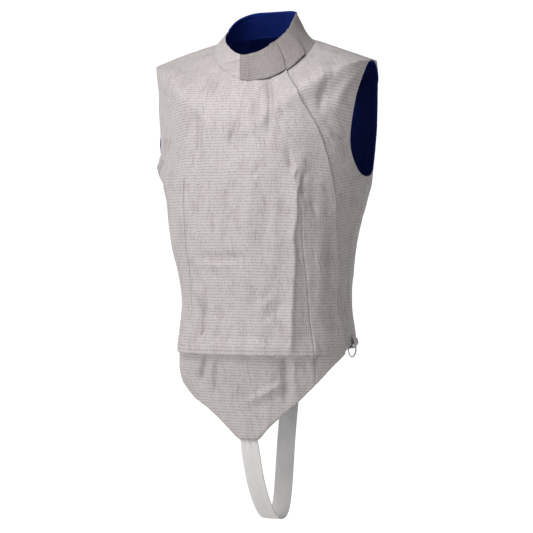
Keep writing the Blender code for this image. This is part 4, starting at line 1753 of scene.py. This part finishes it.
@dataclass
class Collar:
    """The stand collar: four pieces of cloth that turn over its top edge, and a lining.

    Attributes:
        front_powers: how square its front is on the left and the right.
        back_powers: the same for its back.
        bias_seam: angle of the seam in front, at the lower and the top edge.
        peep_span: angles between which the left half rises behind what laps over it.
        blue_span: angles between which the lining rolls over the top edge.
        thick_span: angles over which the flap's thick edge lifts what laps over it.
        tuck_span: angles, counted to the wearer's right, over which a lapping piece tucks in.
        tuck: share of the height by which a lower edge tucks in under the seam.
        seat: how far the lower edge stands off the form.
        cloth_shift: where on the weave the pieces are cut, in metres.
    """

    vest: Vest
    left_width: float = 48.5
    right_width: float = 53.0
    depth: float = 44.0
    front_powers: Pair = (2.1, 1.75)
    back_powers: Pair = (6.0, 3.3)
    centre: Pair = (-5.0, -16.5)
    front_height: float = -20.0
    back_height: float = 46.0
    bias_seam: Pair = (-4.0, -8.0)
    tab_seam: Pair = (50.0, 60.0)
    tab_end: Pair = (68.3, 86.0)
    under_end: float = 32.0
    peep_span: Pair = (46.0, 98.0)
    blue_span: tuple[float, ...] = (124.0, 131.0, 260.0, 272.0)
    thick_span: Pair = (14.0, 44.0)
    tuck_span: Pair = (-24.0, 0.0)
    tuck: float = 0.05
    seat: float = 0.2
    bulge: float = 0.6
    rows: int = 26
    turn_rows: int = 7
    turn_width: float = 1.6
    turn_drop: float = 3.2
    column_angle: float = 1.4
    wall: float = 0.6
    edge_round: float = 1.0
    lining_wall: float = 0.7
    fade: float = 6.0
    cloth_shift: float = 0.135

    def base(self, angle: Array) -> Array:
        """Give the lower edge, on the neck seam.

        Args:
            angle: in degrees.

        Returns:
            Points in millimetres.
        """
        level = self.vest.edges.neck_level(angle)
        form = self.vest.form
        return form.point(angle, level) + form.normal(angle, level) * self.seat

    def top(self, angle: Array) -> Array:
        """Give the top edge: a squarish oval in a plane that rises towards the back.

        Args:
            angle: in degrees.

        Returns:
            Points in millimetres.
        """
        sine, cosine = np.sin(np.radians(angle)), np.cos(np.radians(angle))
        left = sine > 0
        width = np.where(left, self.left_width, self.right_width)
        power = np.where(
            cosine > 0, np.where(left, *self.front_powers), np.where(left, *self.back_powers))
        radius = oval_radius(sine, cosine, width, self.depth, power)
        middle = (self.front_height + self.back_height) / 2
        rise = (self.back_height - self.front_height) / 2
        plain = np.stack((
            self.centre[0] + radius * sine,
            self.centre[1] - radius * cosine,
            middle - rise * radius * cosine / self.depth,
        ), axis=-1)
        base = self.base(angle)
        return base + (plain - base) * read_table(COLLAR_RIM, wrap(angle))[..., None]

    def point(self, angle: Array, share: Array, offset: Array) -> Array:
        """Give a point of the collar.

        It lies on the straight line from the lower edge at share 0 to the top edge at
        share 1, moved out by a shallow bulge and by the offset.

        Args:
            angle: in degrees.
            share: how far up the collar.
            offset: distance out from it.

        Returns:
            Points in millimetres.
        """
        turn = 0.5
        base = self.base(angle)
        top = self.top(angle)
        around = (
            self.base(angle + turn) - self.base(angle - turn)
            + self.top(angle + turn) - self.top(angle - turn))
        normal = unit(np.cross(around, top - base))
        up = np.clip(share, 0, 1)
        wave, round_it, up_it = 0.25, 11, 5
        waves = wave * np.sin(np.radians(angle) * round_it + up_it * share) * up
        out = offset + self.bulge * 4 * up * (1 - up) + waves
        return base + (top - base) * share[..., None] + normal * out[..., None]

    def lifts(self, cut: CollarCut, angles: Array, across: Array, steps: Array) -> Array:
        """Give how far a piece lies off the collar's line: on the flap, and proud at its end.

        Args:
            cut: the piece.
            angles: in degrees.
            across: share of the way from its first end to its last.
            steps: share of the way from its lower edge to its top.

        Returns:
            Distances in millimetres.
        """
        if not cut.lapping:
            return np.zeros_like(angles)
        lift = self.vest.lift * self.vest.raised(angles, np.zeros_like(angles))
        lift = lift + self.vest.flap_edge * smooth_step(angles, *self.thick_span)
        top = 0.45
        corner = smooth_step(across, 0.1, 1.0) * (top + (1 - top) * (1 - steps)**1.5)
        return lift + cut.proud * corner

    @staticmethod
    def angles(cut: CollarCut, along: Array, steps: Array) -> Array:
        """Spread a piece's angles between its slanting ends.

        Args:
            cut: the piece.
            along: share of the way from its first end to its last.
            steps: share of the way from its lower edge to its top.

        Returns:
            Angles in degrees.
        """
        share = cut.low + (1 - cut.low) * steps
        first = cut.start[0] + (cut.start[1] - cut.start[0]) * share
        last = cut.end[0] + (cut.end[1] - cut.end[0]) * share
        return first + (last - first) * along

    def within(self, angles: Array, start: float, end: float) -> Array:
        """Give 1 between two angles, fading in and out just inside them."""
        begun = smooth_step(angles, start, start + self.fade)
        return begun * (1 - smooth_step(angles, end - self.fade, end))

    def shares(self, cut: CollarCut, angles: Array, steps: Array) -> Array:
        """Give how far up the collar a piece's points lie.

        Args:
            cut: the piece.
            angles: in degrees.
            steps: share of the way from its lower edge to its top.

        Returns:
            Shares of the collar's height.
        """
        behind = self.within(angles, *self.peep_span)
        tucked = smooth_step(-angles, *self.tuck_span) if cut.lapping else 1.0
        low = cut.low - (self.tuck + cut.low) * tucked
        return low + (1 + cut.peep * behind - low) * steps

    def piece(self, cut: CollarCut) -> Piece:
        """Make one piece of collar cloth that turns over the top edge.

        Args:
            cut: what it is.

        Returns:
            The piece, with its wall.
        """
        columns = max(6, math.ceil((cut.end[0] - cut.start[0]) / self.column_angle))
        share_row = crowd(columns, *cut.ends)
        up = np.concatenate((np.linspace(0, 1, self.rows), np.ones(self.turn_rows)))
        turn = np.concatenate((np.zeros(self.rows), np.linspace(0, 1, self.turn_rows + 1)[1:]))
        along, steps = np.meshgrid(share_row, up)
        _, turns = np.meshgrid(share_row, turn)
        angles = self.angles(cut, along, steps)
        height = np.linalg.norm(self.top(angles) - self.base(angles), axis=-1)
        half = self.turn_width / 2
        bow = np.clip(2 * turns, 0, 1) * math.pi
        fall = np.clip(2 * turns - 1, 0, 1) * self.turn_drop
        share = self.shares(cut, angles, steps) + (half * np.sin(bow) - fall) / height
        face = self.vest.face + self.lifts(cut, angles, along, steps) - half * (1 - np.cos(bow))
        across = arc_lengths(self.point(angles, share, face), 1)
        for rolled, distance in zip(cut.ends, (across, across[:, -1:] - across)):
            if rolled:
                face = face - rolled_edge(distance, self.edge_round)
        points = self.point(angles, share, face)[::-1]
        uv = laid_flat(points, cut.grain) + self.cloth_shift
        return cloth_mesh(cut.name, points, uv, self.wall)

    def cuts(self) -> tuple[CollarCut, ...]:
        """List the collar's four outer pieces.

        Returns:
            The pieces, from the front round.
        """
        bias_end = (360 + self.bias_seam[0], 360 + self.bias_seam[1])
        under = (self.under_end, self.under_end)
        back = (180.0, 180.0)
        return (
            CollarCut(
                "collar_front_cloth", "collar_front", self.bias_seam, self.tab_seam,
                (0.082, 0.055), 0.0038, -0.10, low=0.0, lapping=True),
            CollarCut(
                "collar_tab_cloth", "collar_tab", self.tab_seam, self.tab_end,
                (0.045, 0.055), 0.0020, 0.30, low=-0.05, lapping=True, proud=2.0,
                ends=(False, True)),
            CollarCut(
                "collar_left_cloth", "collar_left", under, back,
                (0.19, 0.060), 0.0085, 0.06, peep=0.085, ends=(True, False)),
            CollarCut(
                "collar_right_cloth", "collar_right", back, bias_end,
                (0.19, 0.060), 0.0080, 0.75, straight=False),
        )

    def lining_points(self, angle_row: Array) -> Array:
        """Give the lining's face, just inside the cloth.

        Round the back it rolls over the collar's top edge, in steps of (height above the
        edge in millimetres, distance out); elsewhere it stops inside the cloth's own turn.

        Args:
            angle_row: in degrees.

        Returns:
            A grid of points in millimetres, from the top down.
        """
        roll = np.array((
            (-1.0, 1.35), (0.1, 1.4), (0.6, 1.1), (0.8, 0.5), (0.7, -0.1), (0.2, -0.45),
            (-1.0, -0.5), (-3.0, -0.5), (-6.0, -0.45)))
        inside = -0.45
        shares = np.linspace(0.84, -0.06, 20)
        rises, outs = np.concatenate((roll, np.tile((0.0, inside), (len(shares), 1)))).T[..., None]
        plain = np.concatenate((np.linspace(0.985, 0.86, len(roll)), shares))
        rolled = np.concatenate((np.ones(len(roll)), shares))[:, None]
        angles, plain_grid = np.meshgrid(angle_row, plain)
        start, begun, ending, end = self.blue_span
        back = smooth_step(angles, start, begun) * (1 - smooth_step(angles, ending, end))
        height = np.linalg.norm(self.top(angles) - self.base(angles), axis=-1)
        share = plain_grid + (rolled + rises / height - plain_grid) * back
        return self.point(angles, share, inside + (outs - inside) * back)

    def build(self) -> None:
        """Make and dress the collar's cloth and lining."""
        wardrobe = self.vest.wardrobe
        for cut in self.cuts():
            # Straight-grain pieces take the darker copy of the silver: painted shade in their colour.
            finish = wardrobe.straight if cut.straight else wardrobe.silver
            piece = wardrobe.dress(self.piece(cut), finish, "silver_cloth", node=cut.node)
        points = self.lining_points(np.linspace(self.under_end, self.under_end + 358.0, 220))
        piece = cloth_mesh("collar_lining", points, laid_flat(points), self.lining_wall)
        wardrobe.dress(piece, wardrobe.blue, "blue_lining", node="lining_collar")


@dataclass
class CrotchStrap:
    """White elastic from the front tip, under the wearer and up to the back hem.

    Attributes:
        sewn: length of each end that lies inside a hem.
        offset: how far that end lies from the form.
        ridge: height and pitch of the cords that run along it.
        route: where the free part runs from front to back, as depth and height.
    """

    vest: Vest
    width: float = 30.5
    thickness: float = 1.4
    sewn: float = 16.0
    offset: float = -2.9
    across_points: int = 25
    steps: int = 12
    ridge: Pair = (0.16, 2.5)
    edge: Pair = (13.6, 15.2)
    edge_drop: float = 0.35
    route: tuple[Pair, ...] = (
        (-50, -612), (-44, -632), (-31, -664), (-12, -694), (8, -713), (26, -717.5),
        (41, -710), (50.5, -690), (57, -655), (65, -597), (76, -540), (84.5, -502),
        (90, -478), (92.5, -464),
    )

    def end(self, centre: float, sign: float, heights: Array, across: Array) -> Array:
        """Give the rows that are sewn inside a hem, on the panel's own curve.

        Args:
            centre: angle of the strap's middle.
            sign: 1 where angles rise across the strap, -1 where they fall.
            heights: height of each row.
            across: distances from the strap's middle.

        Returns:
            A grid of points in millimetres.
        """
        form = self.vest.form
        level = form.level_at(heights)
        turns = form.turn(np.full(1, centre), level[:1], 1.0)[0] * across
        angles = np.repeat((centre + sign * turns)[None, :], len(heights), axis=0)
        levels = np.repeat(level[:, None], len(across), axis=1)
        points, normals, out = form.relief(angles, levels, ())
        return points + normals * (out + self.offset)[..., None]

    def surface(self) -> Array:
        """Carry the strap's rows along one smooth curve, with its cords standing out.

        Returns:
            A grid of points in millimetres.
        """
        across = np.linspace(-self.width / 2, self.width / 2, self.across_points)
        sewn = self.sewn * np.array((1.0, 0.5, 0.0))
        front = self.end(0.0, 1.0, TIP_HEIGHT + sewn, across)
        back = self.end(180.0, -1.0, SIDE_HEM_HEIGHT + sewn[::-1], across)
        depth, height = np.array(self.route).T[..., None]
        free = np.stack(np.broadcast_arrays(across, depth, height), axis=-1)
        stations = np.concatenate((front, free, back))
        reads = np.linspace(0, len(stations) - 1, self.steps * (len(stations) - 1) + 1)
        points = curve_through(stations.reshape(len(stations), -1), reads)
        points = points.reshape(len(reads), len(across), 3)
        height, pitch = self.ridge
        aside = np.abs(across)
        ridges = height * np.cos(2 * math.pi * across / pitch) * (aside < self.edge[0])
        edge = -self.edge_drop * smooth_step(aside, *self.edge)
        normal = unit(np.cross(np.gradient(points, axis=0), np.gradient(points, axis=1)))
        return points + normal * (ridges + edge + self.thickness / 2)[None, :, None]

    def build(self) -> None:
        """Make and dress the strap."""
        points = self.surface()
        uv = laid_flat(points) - (self.width / 2 * MM, 0)
        piece = cloth_mesh("crotch_strap_webbing", points, uv, self.thickness)
        wardrobe = self.vest.wardrobe
        wardrobe.dress(piece, wardrobe.elastic, "white_elastic", node="crotch_strap")


@dataclass
class ClipRing:
    """The wire ring for a body cord's clip, and the cloth loop that holds it."""

    vest: Vest
    inner_width: float = 23.5
    drop: float = 14.5
    wire: float = 1.0
    corner: float = 2.5
    axis: tuple[float, float, float] = (138.1603, 10.5, -455.2)
    loop_width: float = 16.0
    loop_thickness: float = 0.9
    loop_radius: float = 2.4
    wire_sides: int = 14

    def wire_line(self) -> Array:
        """Give the wire's closed line: a straight bar, two corners and a round bow.

        Returns:
            Its points, as distances along the bar and up.
        """
        half = self.inner_width / 2 + self.wire
        corner = self.corner
        turns = np.radians(np.linspace(90, 0, 9))
        bow = np.radians(np.linspace(0, 180, 47)[1:-1])
        right = np.stack((half - corner + corner * np.cos(turns), -corner + corner * np.sin(turns)), -1)
        bottom = np.stack((half * np.cos(bow), -corner - (self.drop - corner) * np.sin(bow)), -1)
        left = right[::-1] * (-1, 1)
        places = np.linspace(-half + corner, half - corner, 14)[1:-1]
        bar = np.stack((places, np.zeros_like(places)), -1)
        return np.concatenate((right, bottom, left, bar))

    def build_ring(self) -> None:
        """Make the wire as a round tube along its closed line."""
        line = self.wire_line()
        path = np.stack((np.zeros(len(line)), line[:, 0], line[:, 1]), axis=-1)
        tangent = unit(np.roll(path, -1, axis=0) - np.roll(path, 1, axis=0))
        side = np.broadcast_to((1.0, 0.0, 0.0), path.shape)
        across = unit(np.cross(tangent, side))
        points = tube(path + self.axis, side, across, self.wire, self.wire_sides)
        piece = make_mesh(
            "clip_ring_wire", points.reshape(-1, 3) * MM,
            grid_faces(len(path), self.wire_sides, around=True, along=True))
        wardrobe = self.vest.wardrobe
        wardrobe.dress(piece, wardrobe.steel, "ring_steel", body="clip_ring", node="ring")

    def build_loop(self) -> None:
        """Make the loop: down outside the hem, round the bar and up inside."""
        form = self.vest.form
        bulge = np.array((
            (0.1, 13.0), (1.6, 10.5), (3.6, 7.5), (4.4, 4.2), (3.4, 0.8), (1.5, -1.8)))
        outer, inner = 1.5, -3.3
        smooth = curve_through(bulge, np.linspace(0, len(bulge) - 1, 26))
        turns = np.radians(np.linspace(0, -180, 21))
        inner_rises = np.linspace(1.0, 13.0, 12)
        under = np.zeros_like(turns)
        offsets = np.concatenate((outer + smooth[:, 0], under, np.full_like(inner_rises, inner)))
        rises = np.concatenate((smooth[:, 1], under, inner_rises))
        level = form.level_at(SIDE_HEM_HEIGHT)
        middle = 90 + math.degrees(self.axis[1] / form.point(90.0, level)[0])
        half = form.turn(middle, level, self.loop_width / 2)
        angle_row = np.linspace(middle - half, middle + half, 19)
        rise_grid, angle_grid = np.meshgrid(rises, angle_row, indexing="ij")
        levels = form.level_at(SIDE_HEM_HEIGHT + np.maximum(rise_grid, 0))
        bare = form.point(angle_grid, levels)
        normals = form.normal(angle_grid, levels)
        across = np.linspace(-1, 1, len(angle_row))
        puff = 0.5 * np.sin(across * 5.0 + 0.7)[None, :] * (offsets > outer)[:, None]
        points = bare + normals * (offsets[:, None] + puff)[..., None]
        points[..., 2] += np.minimum(rise_grid, 0)
        span = slice(len(smooth), len(smooth) + len(turns))
        points[span, :, 0] = self.axis[0] + self.loop_radius * np.cos(turns)[:, None]
        points[span, :, 1] = self.axis[1] + across * self.loop_width / 2
        points[span, :, 2] = self.axis[2] + 1.1 + self.loop_radius * np.sin(turns)[:, None]
        piece = cloth_mesh("ring_loop_cloth", points, laid_flat(points), self.loop_thickness, 1.0)
        wardrobe = self.vest.wardrobe
        wardrobe.dress(piece, wardrobe.silver, "silver_cloth", node="ring_loop")

    def build(self) -> None:
        """Make the ring and its loop."""
        self.build_ring()
        self.build_loop()


@dataclass(frozen=True)
class StitchRow:
    """One row of sewing.

    Attributes:
        points: its line, in millimetres, a little above the cloth.
    """

    points: Array
    pitch: float = 3.0
    length: float = 2.1
    radius: float = 0.24

    def mesh_parts(self) -> tuple[Array, Array]:
        """Give the points and faces of all its stitches.

        A stitch is a short tube of five sides and four rings, whose thickness follows a
        half circle from end to end.

        Returns:
            Points in millimetres, and faces.
        """
        lengths = arc_lengths(self.points, 0)
        count = max(2, int(lengths[-1] / self.pitch))
        centres = (np.arange(count) + 0.5) * lengths[-1] / count
        sides, rings = 5, 4
        steps = np.linspace(-0.5, 0.5, rings)
        reads = centres[:, None] + steps[None, :] * self.length
        spine = np.stack([np.interp(reads, lengths, self.points[:, k]) for k in range(3)], -1)
        tangent = unit(np.gradient(spine, axis=1))
        slant = np.array((0.13, 0.21, 0.97))
        up = unit(np.cross(tangent, slant))
        side = np.cross(tangent, up)
        thick = self.radius * (0.35 + 0.65 * np.sqrt(np.maximum(1 - (2 * steps)**2, 0)))
        points = tube(spine, up, side, thick[None, :, None, None], sides)
        faces = grid_faces(rings, sides, around=True)
        starts = np.arange(count)[:, None, None] * rings * sides
        return points.reshape(-1, 3), (faces + starts).reshape(-1, 4)


@dataclass
class Sewing:
    """The rows of stitches that show on the vest.

    Attributes:
        inset: distance of a row from its edge.
        second: the same for the second row on the flap's free edge.
        hem: the same for the hem's row.
        thread_rise: how far the thread's middle lies above the cloth.
    """

    vest: Vest
    collar: Collar
    inset: float = 2.6
    second: float = 6.4
    hem: float = 6.0
    thread_rise: float = 0.05
    collar_shares: tuple[float, ...] = (0.955, 0.11)

    def cloth_line(self, angles: Array, levels: Array, flap: bool) -> Array:
        """Give a line of points just above the outer cloth.

        Args:
            angles: in degrees.
            levels: the form's levels.
            flap: whether it lies on the flap.

        Returns:
            Points in millimetres.
        """
        form = self.vest.form
        points, normals, out = form.relief(angles, levels, FRONTS + BACK_CREASES)
        if flap:
            out = out + self.vest.flap_lift(angles, levels)
        place = points + normals * (out + self.vest.face + self.thread_rise)[..., None]
        place[..., 2] -= form.droop(wrap(angles), points[..., 2])
        return place

    def side_row(self, side: Edge, inset: float, rows: tuple[int, int], flap: bool) -> StitchRow:
        """Give a row beside one side of a panel.

        Args:
            side: the panel's side.
            inset: distance from it, towards greater angles if it is more than 0.
            rows: first and last row of the grid.
            flap: whether it lies on the flap.

        Returns:
            The row of stitches.
        """
        plan = self.vest.rows
        numbers = np.arange(rows[0], rows[1] + 1)
        angles = plan.solve(side)[numbers]
        angles = angles + self.vest.form.turn(angles, plan.level(numbers, angles), inset)
        return StitchRow(self.cloth_line(angles, plan.level(numbers, angles), flap))

    def hem_row(self, start: float, end: float, flap: bool) -> StitchRow:
        """Give a row that follows the hem from one angle to another.

        Args:
            start: its first angle.
            end: its last.
            flap: whether it lies on the flap.

        Returns:
            The row of stitches.
        """
        angles = np.linspace(start, end, 260)
        levels = self.vest.form.level_at(self.vest.rows.hem_height(angles) + self.hem)
        return StitchRow(self.cloth_line(angles, levels, flap))

    def collar_row(self, cut: CollarCut, share: float) -> StitchRow:
        """Give a row along one piece of the collar at a share of its height.

        Args:
            cut: the piece.
            share: how far up it the row lies.

        Returns:
            The row of stitches.
        """
        along = np.linspace(0.02, 0.97, max(20, int(cut.end[0] - cut.start[0])))
        steps = np.full_like(along, share)
        angles = self.collar.angles(cut, along, steps)
        out = self.collar.lifts(cut, angles, along, steps) + self.vest.face + self.thread_rise
        return StitchRow(self.collar.point(angles, self.collar.shares(cut, angles, steps), out))

    def piece(self, name: str, rows: Sequence[StitchRow]) -> None:
        """Join rows of stitches into one piece and dress it.

        Args:
            name: the piece's name.
            rows: its rows.
        """
        points, faces = zip(*(row.mesh_parts() for row in rows))
        starts = np.cumsum([0, *map(len, points)])
        faces = [numbers + start for numbers, start in zip(faces, starts)]
        made = make_mesh(name, np.concatenate(points) * MM, np.concatenate(faces))
        self.vest.wardrobe.dress(made, self.vest.wardrobe.thread, "silver_cloth")

    def build(self) -> None:
        """Sew the fronts, the back and the collar."""
        edges, row = self.vest.edges, self.side_row
        tip = self.vest.rows.counts[0]
        end = self.vest.rows.count - 3
        inset, second = self.inset, self.second
        self.piece("front_flap_stitches", [
            row(edges.overlap, -inset, (1, end), True),
            row(edges.overlap, -second, (1, end), True),
            row(edges.right_front_side, inset, (tip, end), False),
            self.hem_row(-88.0, 79.0, True),
        ])
        self.piece("front_under_stitches", [row(edges.underlap_side, -inset, (0, end), False)])
        self.piece("back_stitches", [
            row(edges.left_back_side, inset, (0, end), False),
            row(edges.right_back_side, -inset, (0, end), False),
            self.hem_row(96.0, 264.0, False),
        ])
        self.piece("collar_stitches", [
            self.collar_row(cut, share) for share in self.collar_shares for cut in self.collar.cuts()])


@dataclass(frozen=True)
class Studio:
    """Pale floor and backdrop, soft light from the upper left, and the camera.

    Attributes:
        azimuth: how far the camera stands round to the wearer's left.
        lights: name, turn from the camera, rise, width and watts of each.
        room: how bright the room is from straight below, 0, to straight above, 1.
        dimming: from and to which share of +X it gets dimmer, and its strength there.
    """

    azimuth: float = 28.0
    elevation: float = 1.0
    distance: float = 4.0
    lens: float = 180.0
    sensor: float = 36.0
    aim: tuple[float, float, float] = (0.0, 0.0, -0.337)
    floor: float = -1.15
    light_reach: float = 3.0
    lights: tuple[tuple[str, float, float, float, float], ...] = (
        ("key", -46.0, 44.0, 1.6, 58.0),
        ("fill", 20.0, 60.0, 1.6, 16.0),
        ("low", -62.0, 2.0, 1.0, 10.0),
    )
    room: tuple[Pair, ...] = (
        (0.0, 0.28), (0.30, 0.34), (0.42, 1.0), (0.585, 1.0), (0.70, 0.46), (1.0, 0.54))
    dimming: tuple[float, ...] = (-0.2, 1.0, 1.1, 0.28)

    def hang(self, data: bpy.types.ID, turn: float, rise: float, reach: float) -> Piece:
        """Hang the camera or a lamp round the vest, so that it faces the aim.

        Args:
            data: the camera or the lamp.
            turn: degrees round to the wearer's left.
            rise: degrees above the horizon.
            reach: distance from the aim.

        Returns:
            The object.
        """
        around, up = math.radians(turn), math.radians(rise)
        away = Vector((math.sin(around) * math.cos(up), -math.cos(around) * math.cos(up), math.sin(up)))
        thing = bpy.data.objects.new(data.name, data)
        thing.location = Vector(self.aim) + away * reach
        thing.rotation_mode = "QUATERNION"
        thing.rotation_quaternion = (-away).to_track_quat("-Z", "Y")
        bpy.context.scene.collection.objects.link(thing)
        return thing

    def build_camera(self) -> None:
        """Place the camera at the photograph's viewing angle."""
        data = bpy.data.cameras.new("camera")
        data.lens = self.lens
        data.sensor_width = self.sensor
        bpy.context.scene.camera = self.hang(data, self.azimuth, self.elevation, self.distance)

    def build_lights(self) -> None:
        """Hang the square lamps of soft light."""
        for name, turn, rise, size, power in self.lights:
            data = bpy.data.lights.new(name, "AREA")
            data.shape = "SQUARE"
            data.size = size
            data.energy = power
            self.hang(data, self.azimuth + turn, rise, self.light_reach)

    def build_floor(self) -> None:
        """Make the pale floor as one disc of rings."""
        radii = np.array((0.0, 0.4, 0.8, 1.6, 2.4, 3.2))[:, None]
        turns = np.linspace(0, 2 * math.pi, 48, endpoint=False)
        points = np.stack(np.broadcast_arrays(
            radii * np.cos(turns), radii * np.sin(turns), self.floor), axis=-1)
        floor = make_mesh(
            "floor", points.reshape(-1, 3), grid_faces(len(radii), len(turns), around=True))
        board = Board("pale_floor")
        board.set(Base_Color=(0.93, 0.93, 0.93, 1.0), Roughness=0.9)
        floor.data.materials.append(board.material)

    def build(self) -> None:
        """Set the stage."""
        self.build_camera()
        self.build_floor()
        self.build_world()
        self.build_lights()
        bpy.context.scene.view_settings.view_transform = "Standard"

    def build_world(self) -> None:
        """Make the room's light: white at eye height, dimmer overhead, below and to the right."""
        world = bpy.data.worlds.new("studio")
        world.use_nodes = True
        board = Board.on(world.node_tree, "Background")
        place = board.node("TexCoord", {}, {}, "Generated")
        side = board.node("SeparateXYZ", {}, {0: place}, "X")
        height = Socket(board, side.socket.node.outputs["Z"])
        spread = board.node("MapRange", {}, {"Value": height, "From Min": -1.0})
        bands = board.node("ValToRGB", {}, {"Fac": spread})
        ramp = bands.socket.node.color_ramp.elements
        while len(ramp) < len(self.room):
            ramp.new(0.5)
        for element, (position, grey) in zip(ramp, self.room):
            element.position = position
            element.color = (grey, grey, grey, 1.0)
        start, end, strong, weak = self.dimming
        limits = {"From Min": start, "From Max": end, "To Min": strong, "To Max": weak}
        board.set(
            Color=bands, Strength=board.node("MapRange", {}, {"Value": side, **limits}))
        bpy.context.scene.world = world


def clear_scene() -> None:
    """Remove what Blender starts with."""
    for thing in list(bpy.data.objects):
        bpy.data.objects.remove(thing, do_unlink=True)


def main() -> None:
    """Load the frame, then build every part of the vest and its stage in order."""
    logging.basicConfig(level=logging.INFO, format="%(message)s")
    clear_scene()
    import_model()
    Studio().build()
    vest = Vest(Wardrobe())
    vest.build()
    collar = Collar(vest)
    collar.build()
    CrotchStrap(vest).build()
    ClipRing(vest).build()
    Sewing(vest, collar).build()


if __name__ == "__main__":
    main()
